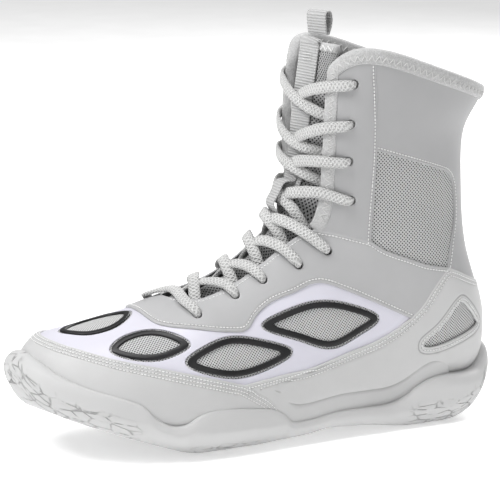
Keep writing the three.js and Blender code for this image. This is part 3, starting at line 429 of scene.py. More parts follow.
def make_grid(row_cells, side_cells):
    t = np.concatenate([np.linspace(i, i + 1, n, endpoint=False) for i, n in enumerate(row_cells)]
                       + [[float(LAST_ROW)]])
    half, girth = even_angles(t, side_cells)
    th = np.concatenate([-half[:, :0:-1], half], 1)
    rows, columns = th.shape
    tt = np.repeat(t[:, None], columns, 1)
    index = np.arange(rows * columns).reshape(rows, columns)
    a, b, c, d = index[:-1, :-1], index[:-1, 1:], index[1:, 1:], index[1:, :-1]
    tris = np.concatenate([np.stack([a, b, c], -1).reshape(-1, 3), np.stack([a, c, d], -1).reshape(-1, 3)])
    across = np.linspace(-1, 1, columns)[None] * girth[:, None]
    middle = face(t, np.full(len(t), 1.3))
    along = np.concatenate([[0], np.cumsum(np.linalg.norm(np.diff(middle, axis=0), axis=-1))])
    cloth = np.stack([across, np.repeat(along[:, None], columns, 1)], -1)
    return {"t": tt.ravel(), "th": th.ravel(), "tris": tris, "uv": cloth.reshape(-1, 2)}


FINE = make_grid(ROW_CELLS, SIDE_CELLS)
COARSE = make_grid([max(3, n // 4) for n in ROW_CELLS], SIDE_CELLS // 4)
for grid in (FINE, COARSE):
    grid["p"] = face(grid["t"], grid["th"])
    grid["n"] = normal(grid["t"], grid["th"])


# ---- outlines in the side view ------------------------------------------------------------------
def rounded(points, spacing=1.5):
    """A smooth open curve through points, resampled evenly."""
    p = np.array(points, float)
    ext = np.concatenate([[2 * p[0] - p[1]], p, [2 * p[-1] - p[-2]]])
    out = []
    for i in range(1, len(ext) - 2):
        a, b, c, d = ext[i - 1:i + 3]
        k0, k1, k2 = [max(np.linalg.norm(v), 1e-6) ** 0.5 for v in (b - a, c - b, d - c)]
        m1 = (c - b) + k1 * ((b - a) / k0 - (c - a) / (k0 + k1))
        m2 = (c - b) + k1 * ((d - c) / k2 - (d - b) / (k1 + k2))
        steps = max(2, int(np.linalg.norm(c - b) / spacing))
        f = np.linspace(0, 1, steps, endpoint=False)[:, None]
        out.append((2 * f ** 3 - 3 * f ** 2 + 1) * b + (f ** 3 - 2 * f ** 2 + f) * m1
                   + (-2 * f ** 3 + 3 * f ** 2) * c + (f ** 3 - f ** 2) * m2)
    return np.concatenate(out + [p[-1:]])


def to_segments(points, a, b):
    """Least distance from points to the segments a-b, and which segment it is."""
    best = np.full(len(points), 1e9)
    which = np.zeros(len(points), int)
    for k in range(len(a)):
        d = b[k] - a[k]
        f = np.clip(((points - a[k]) @ d) / max(d @ d, 1e-9), 0, 1)
        off = np.hypot(*(points - a[k] - f[:, None] * d).T)
        nearer = off < best
        best[nearer] = off[nearer]
        which[nearer] = k
    return best, which


def inside(points, ring):
    x, z = points.T
    result = np.zeros(len(points), bool)
    for (x0, z0), (x1, z1) in zip(ring, np.roll(ring, -1, 0)):
        if z0 == z1:
            continue
        crosses = ((z0 > z) != (z1 > z)) & (x < (x1 - x0) * (z - z0) / (z1 - z0) + x0)
        result ^= crosses
    return result


def outline_field(points, ring):
    """Signed distance in the side view, positive inside the closed outline."""
    ring = np.asarray(ring, float)
    off, _ = to_segments(points, ring, np.roll(ring, -1, 0))
    return np.where(inside(points, ring), off, -off)


def moved(points, dx, dz):
    return [(x + dx, z + dz) for x, z in points]


GUARD = rounded([(-150, 66), (-126, 65), (-115, 62.5), (-96, 57.5), (-71, 52), (-44, 45), (-26, 39.5)])
WAIST = rounded([(-26, 39.5), (-19, 35), (-11, 30), (-3, 22), (2, 12), (6, -20)])
FOXING_FRONT = rounded([(-26, 39.5), (-2, 42), (18, 43.5), (39, 48), (56, 52.5), (71, 58), (81, 64)])
FOXING_REAR = rounded([(81, 64), (89, 71), (95, 79), (101, 86), (106, 90.5)])
FOXING_BACK = rounded([(106, 90.5), (113, 87.5), (124, 82), (140, 75), (168, 68)])
QUARTER = rounded([(-71, 112), (-71, 84), (-70.5, 76), (-68, 72.5), (-62, 71), (-51, 70), (-22, 67), (-18.5, 68.6),
                   (-13, 74), (-3, 80), (12, 84.5), (22, 88), (29, 88), (42, 83), (57, 76), (71, 69), (81, 64)])
ANKLE_FRONT = rounded([(0, 128), (28, 117), (39, 115), (58, 109.5)])
ANKLE_REAR = rounded([(58, 109.5), (66, 104), (81, 98), (91, 94), (106, 90.5)])
EYESTAY = rounded([(58, 109.5), (59, 161), (56, 211), (55, 245)])
LEG_MESH = rounded([(59, 161), (99, 147.5), (107, 144), (111.5, 138), (114, 119), (110, 104), (106, 90.5)])
COLLAR = rounded([(168, 179), (150, 184), (135, 189.5), (118, 196), (93, 205), (71, 213), (57, 216.6),
                  (48, 217), (41, 214.5), (36.5, 209), (34, 203), (33, 197)])
SOLE_WAVE = rounded([(-160, 60), (-140, 55.5), (-130, 50.5), (-114, 44), (-95, 38), (-86, 34), (-78, 26),
                     (-70, 21.5), (-62, 21.5), (-54, 26), (-44, 28), (-10, 24), (-2, 21), (5, 14.5),
                     (17, 14), (34, 16), (54, 15.5), (70, 15.5), (79, 18.5), (87, 23.5), (96, 27),
                     (107, 28), (122, 27), (134, 27.5), (141, 32), (146, 39), (160, 48)])
LAP = 5                                # a lower panel runs this far under the one above it
THROAT_START = 4.72
THROAT_ROUND = 0.5
THROAT_WIDTHS = np.array([(5, 16), (6, 15), (7, 14.5), (8, 16), (9, 18), (10, 20), (11, 21.5), (12, 23),
                          (13, 24.5), (14, 26), (15, 26), (16, 25), (17, 24)], float)
THROAT_SKEW = 0.18
SKEW_END = 20
SKEW_RUN = 60
ANKLE_ROW = 9.7


def throat_half(t):
    wide = np.interp(t, THROAT_WIDTHS[:, 0], THROAT_WIDTHS[:, 1])
    s = np.clip((t - THROAT_START) / THROAT_ROUND, 0, 1)
    return wide * np.sqrt(np.maximum(1 - (1 - s) ** 2, 0))


def straight_row(t, p):
    """The row of the throat that a point belongs to, with the big-toe side's lead taken out."""
    mid = smooth_rows(ROWS, t)[..., 4]
    share = np.clip((SKEW_END - p[..., 0]) / SKEW_RUN, 0, 1)
    shift = THROAT_SKEW * (p[..., 1] - mid) * share
    front = smooth_rows(ROWS, t + 0.01)[..., 2] - smooth_rows(ROWS, np.maximum(t - 0.01, 0))[..., 2]
    return t + shift / np.maximum(front / 0.02, 6), mid


def throat_field(grid):
    """Distance outside the throat's edge, negative in the opening."""
    row, mid = straight_row(grid["t"], grid["p"])
    off = np.abs(grid["p"][:, 1] - mid)
    wide = throat_half(row)
    before = (THROAT_START - row) * 24
    field = np.where(row > THROAT_START, off - wide, np.hypot(off, np.maximum(before, 0)))
    return np.where(np.abs(grid["th"]) > 1.7, 60.0, field)


def frame_of(t, th):
    origin = face(np.array(t), np.array(th))
    n = normal(np.array(t), np.array(th))
    u = unit(np.array([1.0, 0, 0]) - n * n[0])
    v = np.cross(n, u)
    return origin, u, (v if v[2] >= 0 else -v), n


def frame_at(x, z, sign):
    """The tangent frame where the side view shows (x, z) on one side."""
    grid = FINE
    off = np.hypot(grid["p"][:, 0] - x, grid["p"][:, 2] - z)
    off[(grid["th"] * sign < 0.02) | (np.abs(grid["th"]) > 3.1)] = 1e9
    k = int(np.argmin(off))
    t, th = grid["t"][k], grid["th"][k]
    for _ in range(8):
        p = face(np.array(t), np.array(th))
        dt = (face(np.array(t + 1e-3), np.array(th)) - p) * 1e3
        dth = (face(np.array(t), np.array(th + 1e-3)) - p) * 1e3
        step = np.linalg.lstsq(np.stack([dt[[0, 2]], dth[[0, 2]]], 1), np.array([x, z]) - p[[0, 2]], rcond=None)[0]
        t, th = t + step[0], th + step[1]
    return frame_of(t, th)


def closed(points, count=90):
    """A smooth closed curve through points."""
    p = np.array(points, float)
    n = len(p)
    f = np.linspace(0, n, count, endpoint=False)
    i = f.astype(int)
    w = (f - i)[:, None]
    a, b, c, d = p[(i - 1) % n], p[i % n], p[(i + 1) % n], p[(i + 2) % n]
    return 0.5 * (2 * b + (c - a) * w + (2 * a - 5 * b + 4 * c - d) * w * w + (3 * b - a - 3 * c + d) * w ** 3)


WINDOWS = [
    ((-75, 63.8), [(-21, 2), (-14, 9), (-2, 11), (9, 7), (20, -4), (16, -8), (2, -10), (-12, -6)]),
    ((-27.3, 54.6), [(-31, 0), (-20, 7), (-3, 11), (16, 7), (32, 0), (18, -7), (-2, -10.5), (-20, -7)]),
    ((21.9, 65.8), [(-32, 3), (-16, 10), (2, 13), (20, 10), (39, 1), (26, -7), (8, -12.5), (-12, -6)]),
]
TOE_WINDOW = (3.15, [(-19, 1), (-10, 11), (4, 14), (16, 9), (22, 0), (16, -9), (4, -14), (-10, -11)])
HEEL_WINDOW = ((109.5, 58.4), [(-19.5, -10.5), (-8, -2), (4, 9.5), (9, 9.5), (20, -1.5), (21, -5),
                               (4, -9.5), (-12, -12.5)])
SIDES = {"lateral": 1, "medial": -1}
windows = {"toe": (frame_of(TOE_WINDOW[0], 0.0), closed(TOE_WINDOW[1]))}
for side, sign in SIDES.items():
    for number, (at, ring) in enumerate(WINDOWS, 1):
        windows["%s_%d" % (side, number)] = (frame_at(*at, sign), closed(ring))
heel_windows = {side: (frame_at(*HEEL_WINDOW[0], sign), closed(HEEL_WINDOW[1])) for side, sign in SIDES.items()}


def window_field(grid, window):
    """Signed distance to a window's outline along the surface, positive inside it."""
    (origin, u, v, n), ring = window
    away = grid["p"] - origin
    local = np.stack([away @ u, away @ v], 1)
    near = (np.abs(away @ n) < 30) & (np.abs(local).max(1) < 60) & (grid["n"] @ n > 0.2)
    field = np.full(len(away), -60.0)
    field[near] = outline_field(local[near], ring)
    return field


EYELETS = [(5, 33, 0.28), (6.2, 31, 0.3), (7.05, 33, 0.25), (8.15, 41, 0.15), (9.4, 46, 0),
           (11.9, 57, 0), (13.3, 57, 0), (14.6, 55, 0), (15.7, 51, 0)]
EYELET_RADIUS = 2.5


def eyelet(i, side):
    row, degrees, lead = EYELETS[i]
    return (row - lead if side < 0 else row), math.radians(degrees) * side


def eyelet_field(grid):
    field = np.full(len(grid["p"]), 60.0)
    for i in range(len(EYELETS)):
        for side in (1, -1):
            t, th = eyelet(i, side)
            off = np.linalg.norm(grid["p"] - face(np.array(t), np.array(th)), axis=1)
            field = np.minimum(field, off - EYELET_RADIUS)
    return field


def wave_height(x):
    return np.interp(x, SOLE_WAVE[:, 0], SOLE_WAVE[:, 1])


# ---- cutting and building skins --------------------------------------------------------------------
SNAP = 0.04
DATA = ("t", "th", "uv")


def take(skin, keep_tris):
    """Keeps some triangles of a skin and drops the points that are left over."""
    tris = skin["tris"][keep_tris]
    used, flat = np.unique(tris, return_inverse=True)
    new = {key: value[used] for key, value in skin.items() if key != "tris"}
    new["tris"] = flat.reshape(-1, 3)
    return new


def split(skin, field, level=0.0):
    """Cuts the triangles of a skin along the line where one of its fields has a level."""
    s = skin[field] - level
    s = np.where(np.abs(s) < SNAP, 0.0, s)
    sign = np.sign(s).astype(int)
    tris = skin["tris"]
    corner = sign[tris]
    mixed = (corner.max(1) > 0) & (corner.min(1) < 0)
    keep, cut = tris[~mixed], tris[mixed]
    corner = corner[mixed]
    total = corner.sum(1)
    zeros = (corner == 0).sum(1)
    through = zeros == 1
    lone = np.where(through, np.argmax(corner == 0, 1),
                    np.where(total > 0, np.argmin(corner, 1), np.argmax(corner, 1)))
    order = (lone[:, None] + np.arange(3)) % 3
    cut = np.take_along_axis(cut, order, 1)
    one, two = cut[through], cut[~through]
    edges = np.concatenate([one[:, [1, 2]], two[:, [0, 1]], two[:, [0, 2]]])
    pairs = np.sort(edges, 1)
    unique, slot = np.unique(pairs, axis=0, return_inverse=True)
    slot = slot.ravel()
    a, b = unique.T
    w = (s[a] / (s[a] - s[b]))
    count = len(s)
    new = {}
    for key, value in skin.items():
        if key == "tris":
            continue
        weight = w.reshape((-1,) + (1,) * (value.ndim - 1))
        new[key] = np.concatenate([value, value[a] * (1 - weight) + value[b] * weight])
    new[field][count:] = level
    new[field][:count][s == 0] = level
    fresh = slot + count
    n1, n2 = len(one), len(two)
    m = fresh[:n1]
    e, g = fresh[n1:n1 + n2], fresh[n1 + n2:]
    pieces = [keep,
              np.stack([one[:, 0], one[:, 1], m], 1), np.stack([one[:, 0], m, one[:, 2]], 1),
              np.stack([two[:, 0], e, g], 1), np.stack([e, two[:, 1], two[:, 2]], 1),
              np.stack([e, two[:, 2], g], 1)]
    new["tris"] = np.concatenate(pieces)
    return new


def refreshed(skin):
    skin["p"] = face(skin["t"], skin["th"])
    skin["n"] = normal(skin["t"], skin["th"])
    return skin


def region(grid, field):
    """The part of a grid where a field is positive, cut cleanly along its edge."""
    skin = {key: grid[key] for key in DATA}
    skin["edge"] = field
    skin["tris"] = grid["tris"]
    near = (field[grid["tris"]] > 0).any(1)
    skin = split(take(skin, near), "edge")
    skin = take(skin, (skin["edge"][skin["tris"]] >= 0).all(1))
    return refreshed(skin)


def rim_edges(tris, ids):
    """Edges of the triangles that only one of them has, with welded point numbers."""
    welded = ids[tris]
    edges = np.concatenate([welded[:, [0, 1]], welded[:, [1, 2]], welded[:, [2, 0]]])
    key = np.sort(edges, 1)
    _, first, counts = np.unique(key, axis=0, return_index=True, return_counts=True)
    return edges[first[counts == 1]]


def weld(points):
    key = np.round(points * 2000).astype(np.int64)
    _, first, ids = np.unique(key, axis=0, return_index=True, return_inverse=True)
    return first, ids.ravel()


EDGE_SPACING = 0.25


def edge_distance(skin):
    """Distance from each point of a skin to the skin's own edge, and a tree of edge points."""
    first, ids = weld(skin["p"])
    rim = rim_edges(skin["tris"], ids)
    p = skin["p"][first]
    a, b = p[rim[:, 0]], p[rim[:, 1]]
    steps = np.maximum(1, (np.linalg.norm(b - a, axis=1) / EDGE_SPACING).astype(int))
    f = np.concatenate([np.arange(n) / n for n in steps])
    samples = np.repeat(a, steps, 0) + f[:, None] * np.repeat(b - a, steps, 0)
    tree = KDTree(len(samples))
    for k, q in enumerate(samples):
        tree.insert(q, k)
    tree.balance()
    found = [tree.find(q) for q in skin["p"]]
    skin["d"] = np.array([f[2] for f in found])
    return skin, tree


def make_mesh(name, points, faces, material, uv=None):
    """Faces is a list of index arrays, each of one width; points in millimetres."""
    mesh = bpy.data.meshes.new(name)
    faces = [np.asarray(f, int) for f in faces if len(f)]
    loops = np.concatenate([f.ravel() for f in faces])
    widths = np.concatenate([np.full(len(f), f.shape[1]) for f in faces])
    starts = np.concatenate([[0], np.cumsum(widths)[:-1]])
    mesh.vertices.add(len(points))
    mesh.vertices.foreach_set("co", (np.asarray(points) * MM).astype(np.float32).ravel())
    mesh.loops.add(len(loops))
    mesh.loops.foreach_set("vertex_index", loops.astype(np.int32))
    mesh.polygons.add(len(widths))
    mesh.polygons.foreach_set("loop_start", starts.astype(np.int32))
    mesh.polygons.foreach_set("loop_total", widths.astype(np.int32))
    mesh.polygons.foreach_set("use_smooth", np.full(len(widths), True))
    if uv is not None:
        layer = mesh.uv_layers.new(name="cloth")
        layer.data.foreach_set("uv", (uv * MM).astype(np.float32).ravel())
    mesh.update()
    mesh.validate()
    obj = bpy.data.objects.new(name, mesh)
    bpy.context.scene.collection.objects.link(obj)
    mesh.materials.append(material)
    return obj


def drop_slivers(tris):
    return (tris[:, 0] != tris[:, 1]) & (tris[:, 1] != tris[:, 2]) & (tris[:, 2] != tris[:, 0])


def skin_solid(name, skin, top, low, material):
    """A closed sheet between two depths of a skin."""
    n = len(skin["t"])
    first, ids = weld(skin["p"])
    tris = ids[skin["tris"]]
    good = drop_slivers(tris)
    tris = tris[good]
    loops_uv = skin["uv"][skin["tris"][good]]
    p, normals = skin["p"][first], skin["n"][first]
    top = np.broadcast_to(top, n)[first]
    low = np.broadcast_to(low, n)[first]
    outer = p + normals * top[:, None]
    inner = p + normals * low[:, None]
    sample = np.cross(outer[tris[:, 1]] - outer[tris[:, 0]], outer[tris[:, 2]] - outer[tris[:, 0]])
    if np.sum(sample * normals[tris[:, 0]]) < 0:
        tris = tris[:, ::-1]
        loops_uv = loops_uv[:, ::-1]
    rim = rim_edges(tris, np.arange(len(p)))
    count = len(p)
    walls = np.stack([rim[:, 1], rim[:, 0], rim[:, 0] + count, rim[:, 1] + count], 1)
    uv_of = np.zeros((count, 2))
    uv_of[tris] = loops_uv
    uv = np.concatenate([loops_uv.reshape(-1, 2), loops_uv[:, ::-1].reshape(-1, 2),
                         uv_of[walls % count].reshape(-1, 2)])
    return make_mesh(name, np.concatenate([outer, inner]), [tris, tris[:, ::-1] + count, walls], material, uv)


def edge_roll(d, radius, drop):
    """Height taken off near an edge so that it rolls over like cut leather."""
    s = np.clip(1 - d / radius, 0, 1)
    return -drop * (1 - np.sqrt(1 - s * s))


ROLL_LEVELS = (0.15, 0.4, 0.8)
skins = {}                              # what the stitches need of each panel: its skin, edge tree and height


def near_seams(points, seams, reach=1.2):
    """Which points lie over one of the seams in the side view."""
    flat = points[:, [0, 2]]
    best = np.full(len(points), 1e9)
    for seam in seams:
        off, _ = to_segments(flat, seam[:-1], seam[1:])
        best = np.minimum(best, off)
    return best < reach


def heel_gap(q):
    """How far a point is from the edge of a heel window."""
    out = np.full(len(q), 1e9)
    for (origin, u, v, n), ring in heel_windows.values():
        away = q - origin
        off, _ = to_segments(np.stack([away @ u, away @ v], 1), ring, np.roll(ring, -1, 0))
        out = np.minimum(out, np.where(np.abs(away @ n) < 14, off, 1e9))
    return out


CHANNEL = 0.6                           # half width of the channel that a row of stitches draws in


def set_channel_shade(obj, values):
    """The sewn channels of a skin, for its finish to paint as shade."""
    layer = obj.data.attributes.new("channel", "FLOAT", "POINT")
    both = np.zeros(len(obj.data.vertices), np.float32)
    both[:len(values)] = values
    layer.data.foreach_set("value", both)


def panel(name, field, height, thick, slot, nodes, grid=FINE, radius=0.9, drop=0.7, levels=ROLL_LEVELS,
          finish=None, uv=None, rows=(), seams=()):
    """One cut panel of the upper, with rolled edges, standing for its CAD solids."""
    skin = region(grid, field)
    skin, tree = edge_distance(skin)
    for level in levels:
        skin = split(skin, "d", level)
    for inset in rows:
        for level in (inset - CHANNEL, inset, inset + CHANNEL):
            if level > 0.85:
                skin = split(skin, "d", level)
    skin = refreshed(skin)
    if uv is not None:
        skin["uv"] = uv(skin)
    lift = height + edge_roll(skin["d"], radius, drop) if levels else height
    # channel: each sewn row's dip, sunk 0.3 into the panel and painted darker as shade by its finish
    channel = np.zeros(len(skin["t"]))
    if rows:
        close = skin["d"] < max(rows) + CHANNEL
        sewn = np.zeros(len(close), bool)
        nearest = np.array([tree.find(q)[0] for q in skin["p"][close]])
        sewn[close] = near_seams(nearest, seams) | (heel_gap(nearest) < 1.2)
        for inset in rows:
            groove = np.clip(1 - np.abs(skin["d"] - inset) / CHANNEL, 0, 1)
            channel = np.maximum(channel, np.where(sewn, groove, 0))
        lift = lift - 0.3 * channel
    obj = skin_solid(name, skin, lift, height - thick, FINISH[finish or slot])
    set_channel_shade(obj, channel[weld(skin["p"])[0]])
    skins[name] = (skin, tree, height)
    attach(obj, "boot")
    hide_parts(*nodes)
    return obj


# ---- panels of the upper ------------------------------------------------------------------------------
side_view = FINE["p"][:, [0, 2]]
throat_f = throat_field(FINE)
eyelet_f = eyelet_field(FINE)


def ring_of(*parts):
    return np.array([tuple(p) for part in parts for p in part])


def field_of(*parts):
    return outline_field(side_view, ring_of(*parts))


COLLAR_OUTLINE = ring_of(COLLAR, [(-400, 197), (-400, -40), (400, -40), (400, 179)])
below_collar = outline_field(side_view, COLLAR_OUTLINE)
above_sole = FINE["p"][:, 2] - wave_height(FINE["p"][:, 0]) + 8
shell_f = np.minimum.reduce([below_collar - 1.5, throat_f - np.where(FINE["t"] > ANKLE_ROW, 1.2, 0), eyelet_f])
upper_f = np.minimum(shell_f, above_sole)
on_side = {side: np.where(FINE["th"] * sign > 0, 60.0, -60.0) for side, sign in SIDES.items()}
window_f = {name: window_field(FINE, window) for name, window in windows.items()}
heel_f = {side: window_field(FINE, window) for side, window in heel_windows.items()}
all_windows = np.maximum.reduce(list(window_f.values()))
both_heels = np.maximum(*heel_f.values())

HEIGHT = {"mesh": -0.75, "overlay": 0.0, "shaft": 0.55, "eyestay": 0.85, "quarter": 1.05, "foxing": 1.25,
          "guard": 1.45, "ring": 0.42}
SKIN = 1.0
guard_f = np.minimum(field_of(GUARD, WAIST[1:], [(-250, -20)]), upper_f)
panel("toe_guard_skin", guard_f, HEIGHT["guard"], 1.4, "panel_cloth", ["toe_guard"], rows=(1.7, 3.5, 5.3),
      seams=(GUARD, WAIST))
foxing_f = np.minimum.reduce([
    field_of(FOXING_FRONT, FOXING_REAR[1:], FOXING_BACK[1:], [(250, -20)], moved(WAIST[::-1], -LAP, 0)),
    upper_f, -both_heels])
panel("heel_foxing_skin", foxing_f, HEIGHT["foxing"], 1.4, "panel_cloth", ["heel_foxing"], rows=(2.0, 4.0),
      seams=(FOXING_FRONT, FOXING_REAR, FOXING_BACK))
vamp_outline_f = field_of(moved(GUARD, 0, -LAP), moved(FOXING_FRONT, 0, -LAP),
                          moved(QUARTER[::-1], LAP / 2, LAP), [(-250, 130)])
overlay_f = np.minimum.reduce([vamp_outline_f, upper_f, -all_windows - 1.2])
panel("vamp_overlay_skin", overlay_f, HEIGHT["overlay"], SKIN, "satin_overlay", ["vamp_overlay"],
      radius=0.4, drop=0.3, levels=(0.15, 0.4))
quarter_f = np.minimum(
    field_of(QUARTER, moved(FOXING_REAR[1:], LAP, -LAP / 2), ANKLE_REAR[::-1], ANKLE_FRONT[::-1][1:],
             [(-71, 128)]), upper_f)
panel("quarter_skin", quarter_f, HEIGHT["quarter"], 1.2, "panel_cloth", ["quarter_panel"], rows=(2.2,),
      finish="quarter_leather", seams=(QUARTER, ANKLE_FRONT, ANKLE_REAR))
eyestay_f = np.minimum(field_of(moved(ANKLE_FRONT, 0, -LAP), EYESTAY, [(0, 245)]), upper_f)
leg_f = np.minimum(
    field_of(moved(EYESTAY[::-1][:1], -LAP, 0), [(190, 245), (190, 60)], moved(FOXING_BACK[::-1], 0, -LAP),
             LEG_MESH[::-1], [(52, 161)]), upper_f)
panel("shaft_skin", leg_f, HEIGHT["shaft"], SKIN, "shaft_cloth", ["shaft_panel"], rows=(1.9,), seams=(LEG_MESH,))
leg_mesh_f = np.minimum(outline_field(side_view, ring_of(EYESTAY[:28], LEG_MESH, ANKLE_REAR[::-1])) + 3.5, upper_f)


def flat_map(origin, u, v):
    """Cloth coordinates in a tangent frame."""
    return lambda skin: np.stack([(skin["p"] - origin) @ u, (skin["p"] - origin) @ v], 1)


for side, sign in SIDES.items():
    panel("upper_eyestay_" + side + "_skin", np.minimum(eyestay_f, on_side[side]), HEIGHT["eyestay"], SKIN,
          "shaft_cloth", ["upper_eyestay_" + side], rows=(2.0,), seams=(EYESTAY,))
    origin, u, v, n = frame_at(85, 125, sign)
    panel("shaft_mesh_" + side + "_cloth", np.minimum(leg_mesh_f, on_side[side]), HEIGHT["mesh"] + 0.35, 0.8,
          "knit_mesh", ["shaft_mesh_" + side], levels=(), uv=flat_map(origin, u, v))
    origin, u, v, n = heel_windows[side][0]
    panel("heel_mesh_" + side + "_cloth", heel_f[side] + 3, HEIGHT["mesh"] + 0.2, 0.8, "knit_mesh",
          ["heel_mesh_" + side], levels=(), uv=flat_map(origin, u, v), finish="window_mesh")
for name, field in window_f.items():
    panel("window_ring_" + name + "_film", np.minimum(field, 3.3 - field), HEIGHT["ring"], 1.4, "ring_film",
          ["window_ring_" + name], radius=0.8, drop=0.5)


def nearest_window_map(skin):
    uv = np.zeros((len(skin["t"]), 2))
    best = np.full(len(uv), 1e9)
    for (origin, u, v, n), _ in windows.values():
        away = skin["p"] - origin
        off = np.linalg.norm(away, axis=1)
        near = off < best
        best[near] = off[near]
        uv[near] = np.stack([away @ u, away @ v], 1)[near]
    return uv


vamp_f = np.minimum.reduce([vamp_outline_f, upper_f, all_windows + 4])
panel("vamp_mesh_cloth", vamp_f, HEIGHT["mesh"], 0.8, "knit_mesh", ["vamp_mesh"], levels=(),
      uv=nearest_window_map, finish="window_mesh")


# ---- linings, padding and stiffeners -------------------------------------------------------------------
coarse_side = COARSE["p"][:, [0, 2]]
coarse_throat = throat_field(COARSE)
coarse_above = COARSE["p"][:, 2] - wave_height(COARSE["p"][:, 0]) + 10
coarse_collar = outline_field(coarse_side, COLLAR_OUTLINE)
FOOT_OUTLINE = ring_of(ANKLE_FRONT, ANKLE_REAR[1:], [(190, 70), (250, -30), (-250, -30), (-200, 128)])
foot_f = outline_field(coarse_side, FOOT_OUTLINE)
LINING_TOP, LINING_LOW = -3.0, -4.0


def under_layer(name, field, top, low, slot, node, grid=COARSE):
    obj = panel(name, field, top, top - low, slot, [node], grid=grid, levels=())


leg_lining = np.minimum.reduce([-outline_field(side_view, FOOT_OUTLINE), below_collar - 2.5, throat_f - 2])
under_layer("shaft_lining_cloth", leg_lining, LINING_TOP, LINING_LOW, "lining_mesh", "shaft_lining", FINE)
under_layer("foot_lining_cloth", np.minimum(foot_f, coarse_throat - 6), LINING_TOP, LINING_LOW, "lining_mesh",
            "foot_lining")
base_leg = np.minimum.reduce([-foot_f, coarse_collar - 6, coarse_throat - 6])
seam_x = np.interp(COARSE["p"][:, 2], EYESTAY[:, 1], EYESTAY[:, 0])
front_f = seam_x - COARSE["p"][:, 0]
under_layer("shaft_padding_foam", np.minimum(base_leg, -front_f - 0.2), -1.2, -2.8, "collar_foam", "shaft_padding")
for side, sign in SIDES.items():
    side_f = np.where(COARSE["th"] * sign > 0, 60.0, -60.0)
    under_layer("eyestay_board_" + side, np.minimum.reduce([base_leg, front_f, side_f]), -1.2, -2.6,
                "stiffener_board", "eyestay_reinforcement_" + side)
puff_f = np.minimum(outline_field(coarse_side, ring_of(GUARD[:45], [(-62, -20), (-250, -20)])), coarse_above)
under_layer("toe_puff_board", puff_f, -1.0, -2.4, "stiffener_board", "toe_puff")
counter_f = np.minimum(outline_field(coarse_side, np.array([(64, -30), (64, 38), (92, 62), (108, 82), (200, 82),
                                                            (250, -30)], float)), coarse_above + 6)
under_layer("heel_counter_board", counter_f, -1.2, -2.6, "stiffener_board", "heel_counter")
half_at = smooth_rows(ROWS, COARSE["t"])[:, 5]
foot_along = np.clip((COARSE["t"] - 5.3) / 4.3, -1, 1)
bottom_share = np.sqrt(np.maximum(1 - foot_along ** 6, 0))
off_centre = np.abs(COARSE["p"][:, 1] - smooth_rows(ROWS, COARSE["t"])[:, 4])
board_f = np.where(np.abs(COARSE["th"]) > 1.6, half_at * 0.62 * bottom_share - off_centre, -60)
under_layer("strobel_board_sheet", board_f, -1.6, -2.8, "stiffener_board", "strobel_board")
fine_along = np.clip((FINE["t"] - 5.4) / 4.25, -1, 1)
fine_off = np.abs(FINE["p"][:, 1] - smooth_rows(ROWS, FINE["t"])[:, 4])
sock_f = np.where(np.abs(FINE["th"]) > 1.5, smooth_rows(ROWS, FINE["t"])[:, 5] * 0.84
                  * np.sqrt(np.maximum(1 - fine_along ** 6, 0)) - fine_off, -60)
under_layer("sockliner_pad", sock_f, -7.6, -4.5, "sockliner_foam", "sockliner", FINE)


# ---- outsole ---------------------------------------------------------------------------------------------
SOLE_STATIONS = np.array([
    (-146, 43, 6, 3), (-143.5, 38, 6, 13), (-138, 31, 6, 22), (-130, 26.5, 6, 31), (-118, 21.5, 6, 39.5),
    (-98, 14.5, 4, 47.5), (-74, 6.5, 1, 50.5), (-54, 0, 0, 51.5), (-34, 0, -1.5, 49.5), (-14, 0, -2, 46.5),
    (6, 3, -2, 44), (30, 6, -1.5, 42), (58, 4, -1, 41), (82, 0, 0, 40.5), (108, 0, 0, 39),
    (122, 2.5, 0, 35.5), (133, 7, 0, 29), (140, 12.5, 0, 22), (144.5, 19, 0, 14), (146, 24, 0, 3)], float)
MISSED = 25                            # a gap wider than this means the look inwards met nothing
UPPER_FACE = 1.0                       # the upper's outer face over the last, where the sole meets it
WALL_HEIGHTS = 30
BOTTOM_RINGS = 16


OUTLINE_POINTS = 560


def sole_outline(count=OUTLINE_POINTS):
    lateral = np.stack([SOLE_STATIONS[:, 0], SOLE_STATIONS[:, 2] - SOLE_STATIONS[:, 3]], 1)
    medial = np.stack([SOLE_STATIONS[:, 0], SOLE_STATIONS[:, 2] + SOLE_STATIONS[:, 3]], 1)[::-1]
    loop = closed(np.concatenate([lateral, medial]), 1600)
    run = np.concatenate([[0], np.cumsum(np.linalg.norm(np.diff(np.vstack([loop, loop[:1]]), axis=0), axis=1))])
    want = np.linspace(0, run[-1], count, endpoint=False)
    ring = np.stack([np.interp(want, run, np.append(loop[:, k], loop[0, k])) for k in (0, 1)], 1)
    return ring, want


WELD = 1e-5                            # metres; points nearer than this are one


def clean_up(obj):
    """Welds doubles, closes what is open and turns the faces outwards."""
    work = bmesh.new()
    work.from_mesh(obj.data)
    bmesh.ops.remove_doubles(work, verts=work.verts, dist=WELD)
    bmesh.ops.dissolve_degenerate(work, dist=WELD / 10, edges=work.edges)
    rim = [e for e in work.edges if e.is_boundary]
    if rim:
        bmesh.ops.holes_fill(work, edges=rim, sides=0)
    bmesh.ops.recalc_face_normals(work, faces=work.faces)
    work.to_mesh(obj.data)
    work.free()
    for poly in obj.data.polygons:
        poly.use_smooth = True


